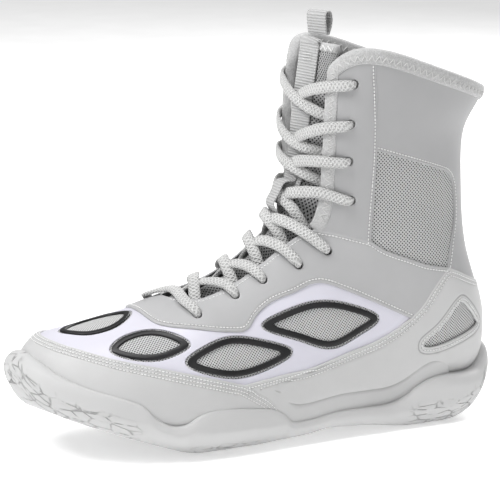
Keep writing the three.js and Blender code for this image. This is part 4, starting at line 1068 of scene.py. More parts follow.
def ring_mesh(name, rings, material, uv_around, uv_along):
    """A closed tube from rings of points, rings x sides x 3."""
    rows, sides, _ = rings.shape
    i, j = np.meshgrid(np.arange(rows - 1), np.arange(sides), indexing="ij")
    i, j = i.ravel(), j.ravel()
    k = (j + 1) % sides
    quads = np.stack([i * sides + j, i * sides + k, (i + 1) * sides + k, (i + 1) * sides + j], 1)
    around = np.concatenate([uv_around, uv_around[:, :1] * 0 + uv_around.max(1, keepdims=True)
                             + uv_around[:, 1:2]], 1)
    corners = [(i, j), (i, j + 1), (i + 1, j + 1), (i + 1, j)]
    uv = np.stack([np.stack([around[a, b], uv_along[a]], 1) for a, b in corners], 1).reshape(-1, 2)
    caps = np.stack([np.arange(sides)[::-1], np.arange(sides) + (rows - 1) * sides])
    uv = np.concatenate([uv, np.zeros((2 * sides, 2))])
    return make_mesh(name, rings.reshape(-1, 3), [quads, caps], material, uv)


for midsole_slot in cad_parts["midsole"].material_slots:
    midsole_slot.material = FINISH["midsole_foam"]

SKIRT = 10                             # the heel panel is drawn straight down from here to the sole


def foxing_skirt(x, y, out, reach, top, waist):
    """The lowest part of the heel panel, from the turn of the last down behind the rim of the sole."""
    for name, side in (("lateral", y < 0), ("medial", y >= 0)):
        k = np.flatnonzero(waist & side)
        k = k[np.argsort(x[k])]
        rings = []
        from_end = np.minimum(x[k] - x[k].min(), x[k].max() - x[k])
        sunk = 1.6 * (1 - np.clip(from_end / 16, 0, 1)) ** 2
        for share, inward in ((0.0, 0.9), (0.0, -0.05), (0.25, 0.1), (0.5, 0.3), (0.75, 0.6), (1.0, 1.0),
                              (1.0, 2.0), (0.5, 1.6)):
            r = reach[k] - 0.25 + inward + sunk
            z = top[k] + SKIRT + 1 - share * (SKIRT + 5)
            rings.append(np.stack([x[k] - out[k, 0] * r, y[k] - out[k, 1] * r, z], 1))
        rings = np.stack(rings, 1)
        steps = np.arange(rings.shape[1], dtype=float)
        obj = ring_mesh("heel_foxing_foot_" + name + "_skin", rings, FINISH["panel_cloth"],
                        np.repeat(steps[None], len(rings), 0), x[k])
        clean_up(obj)
        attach(obj, "boot")


def sole():
    ring, run = sole_outline()
    count = len(ring)
    x, y = ring.T
    low = np.interp(x, SOLE_STATIONS[:, 0], SOLE_STATIONS[:, 1])
    mid = np.interp(x, SOLE_STATIONS[:, 0], SOLE_STATIONS[:, 2])
    kernel = np.ones(13) / 13
    low = np.convolve(np.concatenate([low[-6:], low, low[:6]]), kernel, "valid")
    top = wave_height(x)
    ahead = np.roll(ring, -1, 0) - np.roll(ring, 1, 0)
    out = unit(np.stack([ahead[:, 1], -ahead[:, 0]], 1))
    if np.sum(out * ring) < 0:
        out = -out
    # distance from the outline in to the upper, just below the rim
    shell = UPPER_TREE
    gap = np.zeros(count)
    for k in range(count):
        hit = shell.ray_cast(Vector((x[k] + out[k, 0] * 30, y[k] + out[k, 1] * 30, top[k] - 1.0)),
                             Vector((-out[k, 0], -out[k, 1], 0)))
        gap[k] = 30 if hit[0] is None else hit[3] - 30
    gap = np.clip(np.where(gap > MISSED, 3, gap), -1.5, 16)
    upper = np.zeros(count)
    for k in range(count):
        hit = shell.ray_cast(Vector((x[k] + out[k, 0] * 30, y[k] + out[k, 1] * 30, top[k] + SKIRT)),
                             Vector((-out[k, 0], -out[k, 1], 0)))
        upper[k] = 3 if hit[0] is None else hit[3] - 30
    upper = np.convolve(np.concatenate([upper[-4:], upper, upper[:4]]), np.ones(9) / 9, "valid")
    waist = (x > 3) & (x < 100)
    gap = np.where(waist, np.minimum(gap, upper + 0.9), gap)
    foxing_skirt(x, y, out, upper, top, (x > -22) & (x < 112))
    wide = np.convolve(np.concatenate([gap[-4:], gap, gap[:4]]), np.ones(9) / 9, "valid")
    rows = []
    # underside from the middle line out to the edge
    edge_in = np.interp(x, [-146, -140, -120, -60, -20, 10, 60, 100, 140, 146],
                        [3, 6, 12, 21, 20, 10, 9, 10, 6, 4])
    rim_in = wide * np.interp(x, [-146, -128, -105], [0.85, 0.7, 0.45]) + 0.6
    rim_len = np.minimum(np.interp(x, [-146, -125, -100], [14, 11, 7]), (top - low) * 0.55)
    turn_height = np.interp(x, [-146, -110, -60, -20, 10, 146], [10, 13, 17, 15, 11, 12])
    for q in np.linspace(0, 1, BOTTOM_RINGS):
        inner = mid + (y - out[:, 1] * edge_in - mid) * q
        inner_x = x - out[:, 0] * edge_in * q
        rows.append((inner_x, inner, low))
    # wall: rounds out from the underside, stands, and rolls over at the rim
    height = top - low
    for f in np.linspace(0, 1, WALL_HEIGHTS + 1)[1:]:
        z = low + height * f
        turn = np.clip(f * height / np.minimum(turn_height, height * 0.75), 0, 1)
        inset = edge_in * (1 - turn ** 0.62) ** 1.35
        s = np.clip((z - (top - rim_len)) / rim_len, 0, 1)
        roll = rim_in * (1 - np.sqrt(np.maximum(1 - s * s * 0.98, 0)))
        reach = inset + roll
        rows.append((x - out[:, 0] * reach, y - out[:, 1] * reach, z))
    # over the rim and down behind the upper's face
    for share, drop in ((0.75, -0.25), (1.0, 0.5), (1.1, 3.0), (1.2, 8.0)):
        reach = rim_in * 0.86 + (wide + 1.2 - rim_in * 0.86) * share
        rows.append((x - out[:, 0] * reach, y - out[:, 1] * reach, top - drop))
    floor_in = wide + 3
    for q in (1.0, 0.5, 0.0):
        inner_x = x - out[:, 0] * (floor_in + 2) * q
        inner_y = mid + (y - out[:, 1] * (floor_in + 2) - mid) * q
        rows.append((inner_x, inner_y, np.minimum(low + 5.0, top - 10)))
    points = np.concatenate([np.stack(row, 1) for row in rows])
    points[:, 0] += 0.2 * np.maximum(-133 - points[:, 0], 0)
    index = np.arange(len(points)).reshape(len(rows), count)
    n0, n1 = index[:-1], index[1:]
    quads = np.stack([n0, np.roll(n0, -1, 1), np.roll(n1, -1, 1), n1], -1).reshape(-1, 4)
    level = np.concatenate([row[2] - low for row in rows])
    where = np.tile(x, len(rows))
    zone = np.maximum(np.clip((-84 - where) / 8, 0, 1), np.maximum(
        np.clip(1 - np.abs(where + 34) / 24, 0, 1) ** 0.5, np.clip((where - 78) / 8, 0, 1)))
    high = np.interp(where, [-146, -90, -50, -20, 80, 146], [17, 15, 8, 8, 15, 17])
    cuts = zone * np.clip((high - level) / 3, 0, 1)
    uv = np.stack([np.tile(run, len(rows)), level + 200], 1)
    obj = make_mesh("outsole_rubber", points, [quads], FINISH["sole_rubber"], uv[quads].reshape(-1, 2))
    obj.data.attributes.new("cuts", "FLOAT", "POINT").data.foreach_set("value", cuts.astype(np.float32))
    clean_up(obj)
    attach(obj, "boot")
    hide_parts("outsole")


UPPER_TREE = BVHTree.FromPolygons((FINE["p"] + FINE["n"] * UPPER_FACE).tolist(), FINE["tris"].tolist())
sole()


# ---- strips, cords and bands -----------------------------------------------------------------------
def smooth_path(points, extra, spacing):
    """A smooth curve through points, with other values carried along it."""
    p = np.array(points, float)
    steps = [max(2, int(np.linalg.norm(c - b) / spacing)) for b, c in zip(p[:-1], p[1:])]
    along = np.concatenate([i + np.linspace(0, 1, n, endpoint=False) for i, n in enumerate(steps)]
                           + [[len(p) - 1]])
    extra = np.asarray(extra, float)
    carried = np.stack([np.interp(along, np.arange(len(p)), column) for column in extra.T], 1)
    return rounded(p, spacing), carried


def run_of(path):
    return np.concatenate([[0], np.cumsum(np.linalg.norm(np.diff(path, axis=0), axis=1))])


def even(path, spacing, *others):
    """Resamples a path and what goes with it at an even spacing."""
    run = run_of(path)
    want = np.linspace(0, run[-1], max(3, int(run[-1] / spacing)))
    take_from = [np.asarray(a, float).reshape(len(path), -1) for a in (path, *others)]
    return [np.stack([np.interp(want, run, column) for column in a.T], 1) for a in take_from]


def running_mean(values, count):
    if count < 2:
        return values
    padded = np.concatenate([np.repeat(values[:1], count, 0), values, np.repeat(values[-1:], count, 0)])
    total = np.cumsum(np.vstack([np.zeros((1, values.shape[1])), padded]), axis=0)
    width = 2 * count + 1
    return (total[width:] - total[:-width]) / width


def sweep(name, path, across, half_wide, half_high, finish, sides=16, power=2.5):
    """A flat oval cord along a path; across is the direction of its width."""
    path = np.asarray(path, float)
    count = len(path)
    half_wide = np.broadcast_to(half_wide, count).astype(float)
    half_high = np.broadcast_to(half_high, count).astype(float)
    along = unit(np.gradient(path, axis=0))
    across = np.broadcast_to(across, path.shape)
    across = unit(across - along * np.sum(across * along, 1)[:, None])
    up = np.cross(along, across)
    turn = np.linspace(0, 2 * math.pi, sides, endpoint=False)
    c, s = np.cos(turn), np.sin(turn)
    wide = np.sign(c) * np.abs(c) ** (2 / power)
    high = np.sign(s) * np.abs(s) ** (2 / power)
    run = run_of(path)
    end = np.minimum(run, run[-1] - run)
    soft = np.clip(end / np.maximum(half_high, 0.1), 0.03, 1)
    round_end = np.sqrt(1 - (1 - soft) ** 2)
    half_high = half_high * round_end
    half_wide = half_wide - np.minimum(1.0, half_wide) * (1 - round_end)
    rings = (path[:, None] + across[:, None] * (wide[None] * half_wide[:, None])[..., None]
             + up[:, None] * (high[None] * half_high[:, None])[..., None])
    girth = 2 * math.pi * np.sqrt((half_wide ** 2 + half_high ** 2) / 2)
    around = (turn / (2 * math.pi))[None] * girth[:, None]
    return ring_mesh(name, rings, FINISH[finish], around, run)


def spot(t, th, depth=0.0):
    return place(np.array(float(t)), np.array(float(th)), np.array(float(depth)))


def angle_across(t, distance):
    row = smooth_rows(ROWS, np.array(float(t)))
    share = min(abs(distance) / row[5], 0.98)
    return math.asin(share ** (1 / row[7])) * (1 if distance >= 0 else -1)


def beside(t, share, side, depth):
    """A point on the throat's width: share 0 is the centre line and 1 its edge."""
    return spot(t, angle_across(t, float(throat_half(np.array(max(t, 5.2)))) * share * side), depth)


def normal_at(p):
    hit = FACE_TREE.find_nearest(Vector(p))
    return np.array(hit[1])


def finish_piece(obj, body, slot, *nodes):
    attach(obj, body)
    if nodes:
        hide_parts(*nodes)
    return obj


FACE_TREE = BVHTree.FromPolygons(FINE["p"].tolist(), FINE["tris"].tolist())


# ---- lace ----------------------------------------------------------------------------------------------
EDGE_LIFT = 3.3                        # middle of a strand over the bound edge
UNDER = -5.4
CROSS_LOW, CROSS_HIGH = 1.1, 3.9
LEAD = 0.12


def lace_half(first):
    """Knots (point, half width, half height) from the lowest eyelet up to the tucked end."""
    knots = []
    side = first
    for i in range(len(EYELETS)):
        t, th = eyelet(i, side)
        hole = spot(t, th)
        n = normal(np.array(float(t)), np.array(float(th)))
        edge = beside(t - LEAD, 1, side, EDGE_LIFT)
        inward = edge - hole
        inward = unit(inward - n * (inward @ n))
        knots.append((edge, 3.3, 1.15))
        knots.append((hole + inward * 3.4 + n * 3.1, 3.1, 1.15))
        knots.append((hole + inward * 1.1 + n * 2.3, 2.5, 1.3))
        knots.append((hole + inward * 0.1 + n * 0.4, 2.0, 1.5))
        knots.append((hole + inward * 0.2 - n * 3.4, 2.0, 1.5))
        knots.append((hole + inward * 2.2 - n * 5.4, 2.6, 1.25))
        if i == len(EYELETS) - 1:
            for rows, turn in ((0.35, 14), (0.9, 28), (1.5, 34)):
                knots.append((spot(t - rows, th + math.radians(turn) * side, UNDER - 1.8), 3.0, 1.1))
            knots.pop(-4)
            break
        after_t, _ = eyelet(i + 1, -side)
        over = side > 0
        middle = CROSS_HIGH if over else CROSS_LOW
        step = after_t - t
        rising = max((UNDER + middle) / 2, -2.2)
        falling = (EDGE_LIFT + middle) / 2 + 0.4
        knots.append((beside(t + LEAD, 1, side, UNDER + 0.1), 3.2, 1.15))
        knots.append((beside(t + step * 0.28, 0.5, side, rising), 3.4, 1.15))
        knots.append((beside(t + step * 0.5, 0, side, middle), 3.4, 1.15))
        knots.append((beside(t + step * 0.72, 0.5, -side, falling), 3.4, 1.15))
        side = -side
    return knots


def flat_lace():
    lateral, medial = lace_half(1), lace_half(-1)
    bar = (beside(EYELETS[0][0] - LEAD, 0, 1, EDGE_LIFT), 3.4, 1.15)
    knots = lateral[::-1] + [bar] + medial
    points = np.array([k[0] for k in knots])
    sizes = np.array([k[1:] for k in knots])
    path, sizes = smooth_path(points, sizes, 1.1)
    path, sizes = even(path, 1.1, sizes)
    path = running_mean(path, 1)
    along = unit(np.gradient(path, axis=0))
    normals = np.array([normal_at(p) for p in path])
    flat = along - normals * np.sum(along * normals, 1)[:, None]
    strength = np.linalg.norm(flat, axis=1, keepdims=True)
    across = np.cross(normals, unit(flat)) * np.maximum(strength - 0.25, 0)
    sign = 1.0
    held = across[0]
    for k in range(1, len(across)):
        if strength[k] > 0.3:
            if across[k] @ held < 0:
                sign = -sign
                across[k] *= -1
            held = across[k]
    across = running_mean(across, 4)
    obj = sweep("lace_braid", path, across, sizes[:, 0], sizes[:, 1], "lace_braid", sides=18, power=2.7)
    finish_piece(obj, "boot", "lace_braid", "lace")
    for side, half in (("lateral", lateral), ("medial", medial)):
        start, end = half[-2][0], half[-1][0]
        ahead = unit(end - start)
        from_p, to_p = end - ahead * 1.5, end + ahead * 21
        steps = np.linspace(0, 1, 24)[:, None]
        tip = sweep("aglet_" + side + "_film", from_p + (to_p - from_p) * steps, normal_at(end), 1.55, 1.45,
                    "aglet_plastic", sides=14, power=2)
        finish_piece(tip, "boot", "aglet_plastic", "aglet_" + side)


flat_lace()


# ---- bound edge of the collar and throat ---------------------------------------------------------------
BINDING = 7.2


def edge_chain():
    """The opening's edge from the outer ankle up, round the collar and down the other side."""
    skin = region(FINE, np.minimum.reduce([below_collar, throat_f, (FINE["t"] - ANKLE_ROW) * 15]))
    first, ids = weld(skin["p"])
    tris = ids[skin["tris"]]
    rim = rim_edges(tris[drop_slivers(tris)], np.arange(len(first)))
    p, n, t = skin["p"][first], skin["n"][first], skin["t"][first]
    joined = {}
    for a, b in rim:
        if t[a] < ANKLE_ROW + 0.02 or t[b] < ANKLE_ROW + 0.02:
            continue
        joined.setdefault(a, []).append(b)
        joined.setdefault(b, []).append(a)
    ends = [k for k, v in joined.items() if len(v) == 1]
    start = min(ends, key=lambda k: (p[k, 1], p[k, 2]))
    order, here, before = [start], start, None
    while True:
        ahead = [k for k in joined[here] if k != before]
        if not ahead or len(order) > len(joined) + 5:
            break
        here, before = ahead[0], here
        order.append(here)
    path, normals = even(p[order], 0.8, n[order])
    return running_mean(path, 3), unit(running_mean(normals, 3))


edge_p, edge_n = edge_chain()
edge_p, edge_n = even(edge_p, 1.2, edge_n)
edge_along = unit(np.gradient(edge_p, axis=0))
edge_in = unit(np.cross(edge_n, edge_along))
middle = len(edge_p) // 2
if edge_in[middle, 2] > 0:
    edge_in = -edge_in
edge_in = unit(running_mean(edge_in, 2))
edge_run = run_of(edge_p)
edge_ends = np.minimum(edge_run, edge_run[-1] - edge_run)
low_end = np.clip(edge_ends / 9, 0, 1)


def bound_edge():
    outline = [(BINDING, 0.5), (BINDING - 0.1, 1.35), (BINDING - 0.7, 1.7), (5, 1.8), (3, 1.8), (1.2, 1.75),
               (0, 1.6), (-0.9, 0.9), (-1.3, -0.3), (-1.4, -1.8), (-1.2, -3.3), (-0.5, -4.4), (0.6, -4.9),
               (3, -5.05), (5.5, -5.0), (BINDING - 0.3, -4.8), (BINDING, -4.2), (5.5, -3.9), (2.5, -3.9),
               (0.8, -3.4), (0.5, -1.8), (0.8, -0.2), (2.5, 0.4), (5.5, 0.5)]
    rings = []
    for offset, depth in outline:
        lower = np.where(depth > 0, depth - (1 - low_end) * (1.0 if depth > 0.6 else 0.3), depth)
        base = edge_p + edge_in * offset
        if offset > 0.9:
            base = np.array([FACE_TREE.find_nearest(Vector(q))[0] for q in base])
        rings.append(running_mean(base + edge_n * lower[:, None], 1))
    rings = np.stack(rings, 1)
    sample = np.cross(rings[5, 1] - rings[5, 0], rings[6, 0] - rings[5, 0])
    steps = run_of(np.array(outline))
    if sample @ (rings[5, 0] - rings[5].mean(0)) < 0:
        rings = rings[:, ::-1]
    obj = ring_mesh("collar_binding_tape", rings, FINISH["binding_tape"], np.repeat(steps[None], len(rings), 0),
                    edge_run)
    clean_up(obj)
    finish_piece(obj, "boot", "binding_tape", "collar_binding")


bound_edge()


def zigzag(name, low, high, depth, pitch, start, stop, radius=0.25):
    """A zigzag seam along the bound edge, as one fine thread."""
    corners = np.arange(start, stop, pitch / 2)
    points = []
    for k, at in enumerate(corners):
        base, n, inward = [np.array([np.interp(at, edge_run, column) for column in a.T])
                           for a in (edge_p, edge_n, edge_in)]
        hit = FACE_TREE.find_nearest(Vector(base + inward * (low if k % 2 else high)))
        points.append((np.array(hit[0]) + n * depth, n))
    f = np.linspace(0, 1, 4, endpoint=False)[:, None]
    sag = 0.22 * np.abs(2 * f - 1) ** 4
    fine, ups = [], []
    for (a, n0), (b, n1) in zip(points[:-1], points[1:]):
        fine.append(a + (b - a) * f - n0 * sag)
        ups.append(n0 + (n1 - n0) * f)
    fine, ups = np.concatenate(fine), np.concatenate(ups)
    across = np.cross(unit(ups), unit(np.gradient(fine, axis=0)))
    return sweep(name, fine, across, radius * 1.25, radius, "binding_thread", sides=6, power=2)


outer_zigzag = zigzag("binding_zigzag_thread", 2.2, 5.4, 1.93, 4.2, 6, edge_run[-1] - 6)
finish_piece(outer_zigzag, "boot", "lace_braid")
inner_zigzag = zigzag("binding_inner_zigzag_thread", 2.0, 5.6, -5.2, 4.6, 8, edge_run[-1] - 8)
finish_piece(inner_zigzag, "boot", "lace_braid")


# ---- tongue, strap, loop and keeper ----------------------------------------------------------------------
TONGUE_TOP, TONGUE, CROWN, CROWN_SHARE = -7.6, 4.6, 4.2, 0.9
STRAP_MID = TONGUE_TOP + CROWN + 0.5 + 0.45
STRAP_STAND, STRAP_TURN = 1.5, 22.0
TURNED = np.array([-math.sin(math.radians(STRAP_TURN)), math.cos(math.radians(STRAP_TURN)), 0.0])
TIP_TOP, TIP_HALF, TIP_BAND = 219.5, 20.0, 5.5


def crown_at(t, across):
    edge = float(throat_half(np.array(max(t, 5.0)))) * CROWN_SHARE
    fade = np.clip((t - THROAT_START - 0.1) / 0.7, 0, 1)
    fade = fade * fade * (3 - 2 * fade)
    turn = np.pi / 2 * np.minimum(np.abs(across) / edge, 1)
    return CROWN * fade * np.cos(turn) ** 2


def row_of_height(z):
    rows = np.linspace(10, LAST_ROW, 700)
    heights = smooth_rows(ROWS, rows)[:, 3]
    return float(np.interp(z, heights, rows))


def tongue_half(t):
    wide = float(throat_half(np.array(max(t, 5.0)))) + 5
    share = np.clip((t - 15.2) / 0.8, 0, 1)
    share = share * share * (3 - 2 * share)
    return wide + (TIP_HALF + 0.5 - wide) * share


END_TAPER = {0: 0.35, 1: 0.8}          # how the tongue's two end rows thin out


def tongue():
    top_row = row_of_height(TIP_TOP - 2.6)
    rows = np.concatenate([np.linspace(4.5, 9, 46), np.linspace(9, top_row, 96)[1:]])
    share = np.linspace(-1, 1, 27)
    rings, run, last = [], [], None
    for k, t in enumerate(rows):
        half = tongue_half(t)
        across = share * half
        th = np.array([angle_across(t, -a) for a in across])
        crown = crown_at(t, across)
        p = face(np.full(len(th), t), th)
        n = normal(np.full(len(th), t), th)
        thick = TONGUE / 2 * (1 - np.abs(share) ** 7) ** 0.5
        thick = np.maximum(thick, 0.25) * END_TAPER.get(min(k, len(rows) - 1 - k), 1)
        centre = TONGUE_TOP - TONGUE / 2 + crown
        top = p + n * (centre + thick)[:, None]
        low = p + n * (centre - thick)[:, None]
        rings.append(np.concatenate([top, low[::-1][1:-1]]))
        here = p[len(p) // 2]
        run.append(0 if last is None else run[-1] + np.linalg.norm(here - last))
        last = here
    rings = np.array(rings)
    steps = np.concatenate([[0], np.cumsum(np.linalg.norm(np.diff(rings[60], axis=0), axis=1))])
    obj = ring_mesh("tongue_pad", rings, FINISH["tongue_mesh"], np.repeat(steps[None], len(rings), 0),
                    np.array(run))
    clean_up(obj)
    return obj


tongue_pad = tongue()
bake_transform(tongue_pad)
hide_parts("tongue_body", "tongue_tip")


def tongue_edge():
    """The rolled band over the tongue's upper edge."""
    t = row_of_height(TIP_TOP - TIP_BAND / 2)
    across = np.linspace(-TIP_HALF - 0.3, TIP_HALF + 0.3, 46)
    th = np.array([angle_across(t, -a) for a in across])
    n = normal(np.full(len(th), t), th)
    path = face(np.full(len(th), t), th) + n * (TONGUE_TOP - TONGUE / 2 + crown_at(t, across))[:, None]
    obj = sweep("tongue_binding_tape", path, np.array([0, 0, 1.0]), 2.7, 2.55, "binding_tape", sides=20, power=2.3)
    finish_piece(obj, "tongue_top", "binding_tape", "tongue_binding")
    steps = 18
    points, ups = [], []
    for k in range(steps + 1):
        a = -TIP_HALF + 1.5 + (2 * TIP_HALF - 3) * k / steps
        i = np.argmin(np.abs(across - a))
        points.append(path[i] + n[i] * 2.6 + np.array([0, 0, -1.5 if k % 2 else 1.3]))
        ups.append(n[i])
    points, ups = np.array(points), np.array(ups)
    fine = np.concatenate([a + (b - a) * np.linspace(0, 1, 4, endpoint=False)[:, None]
                           for a, b in zip(points[:-1], points[1:])])
    seam = sweep("tongue_zigzag_thread", fine, np.cross(np.repeat(ups[:-1], 4, 0), np.gradient(fine, axis=0)),
                 0.38, 0.3, "thread", sides=6, power=2)
    finish_piece(seam, "tongue_top", "lace_braid")


tongue_edge()


def strap():
    rows = np.linspace(9.9, row_of_height(TIP_TOP - 0.3), 150)
    path = np.array([spot(t, 0.0, STRAP_MID + STRAP_STAND) for t in rows])
    path[:, 0] += np.interp(path[:, 2], [110, 122], [STRAP_STAND - 0.4, 0])
    turned = np.radians(np.interp(path[:, 2], [112, 135], [4, STRAP_TURN]))
    path = np.vstack([path, path[-1] + [0.9, 0, 0.9], [38.6, 0.0, 220.6]])
    turned = np.append(turned, turned[-2:])
    across = np.stack([-np.sin(turned), np.cos(turned), 0 * turned], 1)
    half = np.interp(path[:, 2], [95, 118, 150, 175], [5.2, 5.6, 6.8, 7.0])
    path[:, 1] += -1.5 * np.clip((path[:, 2] - 118) / 30, 0, 1)
    obj = sweep("tongue_strap_webbing", path, across, half, 0.55, "webbing", sides=18, power=6)
    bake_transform(obj)
    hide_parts("tongue_strap", "strap_top")
    z = TIP_TOP - 7.5
    for k in range(3):
        t = row_of_height(z - 1.5 * k)
        c = spot(t, 0.0, STRAP_MID + STRAP_STAND + 0.75) + np.array([0, -1.5, 0])
        line = c + np.linspace(-1, 1, 9)[:, None] * TURNED * 3.4
        bar = sweep("strap_tack_%d_thread" % (k + 1), line, np.array([0, 0, 1.0]), 0.38, 0.3,
                    "binding_thread", sides=8)
        finish_piece(bar, "tongue_top", "webbing")


strap()


def pull_loop():
    x, z = 40.5, 222.2
    outline = [(-0.9, 0.3), (-1.4, 1.8), (-1.9, 4.5), (-2.3, 8.0), (-2.4, 11.4), (-1.7, 13.0), (0, 13.5),
               (1.7, 13.0), (2.6, 11.4), (3.0, 8.0), (2.2, 4.5), (0.9, 1.8), (0.35, 0.3)]
    path = even(rounded([(x + a, 0.0, z + b) for a, b in outline], 0.5), 0.5)[0]
    outwards = np.array([math.cos(math.radians(STRAP_TURN)), math.sin(math.radians(STRAP_TURN)), 0.0])
    path = np.array([x, -1.5, 0.0]) + outwards * (path[:, :1] - x) + np.array([0, 0, 1.0]) * path[:, 2:]
    obj = sweep("pull_loop_webbing", path, TURNED, 7.0, 0.6, "webbing", sides=18, power=6)
    finish_piece(obj, "pull_loop", "webbing", "pull_loop")


pull_loop()


def keeper():
    row = 10.6
    base = spot(row, 0.0)
    n = normal(np.array(row), np.array(0.0))
    along = unit(spot(row + 0.1, 0.0) - spot(row - 0.1, 0.0))
    along = unit(along - n * (along @ n))
    low = TONGUE_TOP + CROWN + 1.4 + 0.3 + 1.4 + 0.45
    high = 2.9 + 1.15 + 1.6
    knots = [(-13, low), (-10.6, low), (-8.9, (low + high) / 2), (-6.8, high), (0, high + 0.3), (6.8, high),
             (8.9, (low + high) / 2), (10.6, low), (13, low)]
    path = even(rounded(np.array([base + along * a + n * b for a, b in knots]), 0.5), 0.6)[0]
    obj = sweep("lace_keeper_webbing", path, np.array([0, 1.0, 0]), 5.0, 0.55, "webbing", sides=18, power=6)
    finish_piece(obj, "boot", "webbing", "lace_keeper")


keeper()


# ---- stitches -----------------------------------------------------------------------------------------------
SHORTEST_RUN = 6                       # points; a shorter row isn't sewn


def contour(skin, level):
    """Lines on a skin at a distance from its own edge, as (t, th) chains."""
    d = skin["d"] - level
    d = np.where(np.abs(d) < 1e-6, 1e-6, d)
    tris = skin["tris"]
    sign = d[tris] > 0
    tris = tris[sign.any(1) & ~sign.all(1)]
    joined, places = {}, {}
    for tri in tris.tolist():
        ends = []
        for a, b in ((tri[0], tri[1]), (tri[1], tri[2]), (tri[2], tri[0])):
            if (d[a] > 0) != (d[b] > 0):
                key = (min(a, b), max(a, b))
                if key not in places:
                    w = d[key[0]] / (d[key[0]] - d[key[1]])
                    places[key] = [skin[c][key[0]] * (1 - w) + skin[c][key[1]] * w for c in ("t", "th")]
                ends.append(key)
        if len(ends) == 2:
            joined.setdefault(ends[0], []).append(ends[1])
            joined.setdefault(ends[1], []).append(ends[0])
    chains, seen = [], set()
    starts = [k for k, v in joined.items() if len(v) == 1] + list(joined)
    for start in starts:
        if start in seen:
            continue
        chain, here = [start], start
        seen.add(start)
        while True:
            ahead = [k for k in joined[here] if k not in seen]
            if not ahead:
                break
            here = ahead[0]
            seen.add(here)
            chain.append(here)
        if len(chain) > SHORTEST_RUN:
            chains.append(np.array([places[k] for k in chain]))
    return chains


def stitch_rows(skin_name, insets, seams, keep=None):
    """Rows of stitches that follow the given seams of a panel at some insets."""
    skin, tree, height = skins[skin_name]
    rows = []
    for inset in insets:
        for chain in contour(skin, inset):
            p = face(chain[:, 0], chain[:, 1])
            nearest = np.array([tree.find(q)[0] for q in p])
            good = near_seams(nearest, seams) if seams else np.ones(len(p), bool)
            if keep is not None:
                good &= keep(nearest)
            edges = np.flatnonzero(np.diff(np.concatenate([[0], good.astype(int), [0]])))
            for a, b in zip(edges[::2], edges[1::2]):
                if b - a < SHORTEST_RUN:
                    continue
                n = normal(chain[a:b, 0], chain[a:b, 1])
                path, ups = even(p[a:b], 0.7, n)
                path, ups = running_mean(path, 2), unit(running_mean(ups, 2))
                rows.append((path + ups * (height + STITCH_LIFT), ups))
    return rows


def stitch_shape():
    """One stitch: a short thread that dips at both ends."""
    along = np.array([-0.82, -0.74, -0.5, -0.2, 0.2, 0.5, 0.74, 0.82])
    thick = np.array([0.08, 0.2, 0.27, 0.3, 0.3, 0.27, 0.2, 0.08])
    sink = np.array([-0.34, -0.2, -0.04, 0, 0, -0.04, -0.2, -0.34])
    turn = np.linspace(0, 2 * math.pi, 7)[:-1]
    rings = np.stack([np.repeat(along[:, None], 6, 1), np.cos(turn)[None] * thick[:, None] * 1.15,
                      np.sin(turn)[None] * thick[:, None] + sink[:, None]], -1)
    return ring_mesh("stitch_shape", rings, FINISH["thread"], np.repeat(turn[None], 8, 0), along)


def stitch_tool(shape):
    """Geometry Nodes that lay stitches end to end along rows, each lying on its panel."""
    tree = bpy.data.node_groups.new("stitch rows", "GeometryNodeTree")
    face_of = tree.interface
    face_of.new_socket("Rows", in_out="INPUT", socket_type="NodeSocketGeometry")
    pitch = face_of.new_socket("Pitch", in_out="INPUT", socket_type="NodeSocketFloat")
    size = face_of.new_socket("Stitch Size", in_out="INPUT", socket_type="NodeSocketFloat")
    seed = face_of.new_socket("Seed", in_out="INPUT", socket_type="NodeSocketInt")
    thread = face_of.new_socket("Thread", in_out="INPUT", socket_type="NodeSocketMaterial")
    face_of.new_socket("Stitches", in_out="OUTPUT", socket_type="NodeSocketGeometry")
    new, link = tree.nodes.new, tree.links.new
    start, end = new("NodeGroupInput"), new("NodeGroupOutput")
    curve, resample = new("GeometryNodeMeshToCurve"), new("GeometryNodeResampleCurve")
    resample.mode = "LENGTH"
    link(start.outputs["Rows"], curve.inputs["Mesh"])
    link(curve.outputs[0], resample.inputs["Curve"])
    link(start.outputs["Pitch"], resample.inputs["Length"])
    instance, info = new("GeometryNodeInstanceOnPoints"), new("GeometryNodeObjectInfo")
    info.inputs["Object"].default_value = shape
    link(resample.outputs[0], instance.inputs["Points"])
    link(info.outputs["Geometry"], instance.inputs["Instance"])
    up = new("GeometryNodeInputNamedAttribute")
    up.data_type = "FLOAT_VECTOR"
    up.inputs["Name"].default_value = "up"
    tangent = new("GeometryNodeInputTangent")
    first, second = new("FunctionNodeAlignRotationToVector"), new("FunctionNodeAlignRotationToVector")
    first.axis, second.axis, second.pivot_axis = "X", "Z", "X"
    link(tangent.outputs[0], first.inputs["Vector"])
    link(first.outputs[0], second.inputs["Rotation"])
    link(up.outputs[0], second.inputs["Vector"])
    link(second.outputs[0], instance.inputs["Rotation"])
    vary = new("FunctionNodeRandomValue")
    vary.data_type = "FLOAT"
    link(start.outputs["Seed"], vary.inputs["Seed"])
    low, high = [s for s in vary.inputs if s.name in ("Min", "Max") and s.type == "VALUE"]
    low.default_value, high.default_value = 0.93, 1.05
    scale = new("ShaderNodeMath")
    scale.operation = "MULTIPLY"
    link([s for s in vary.outputs if s.type == "VALUE" and s.enabled][0], scale.inputs[0])
    link(start.outputs["Stitch Size"], scale.inputs[1])
    link(scale.outputs[0], instance.inputs["Scale"])
    real, paint = new("GeometryNodeRealizeInstances"), new("GeometryNodeSetMaterial")
    link(instance.outputs[0], real.inputs[0])
    link(real.outputs[0], paint.inputs["Geometry"])
    link(start.outputs["Thread"], paint.inputs["Material"])
    link(paint.outputs[0], end.inputs[0])
    return tree, {"pitch": pitch.identifier, "size": size.identifier, "seed": seed.identifier,
                  "thread": thread.identifier}


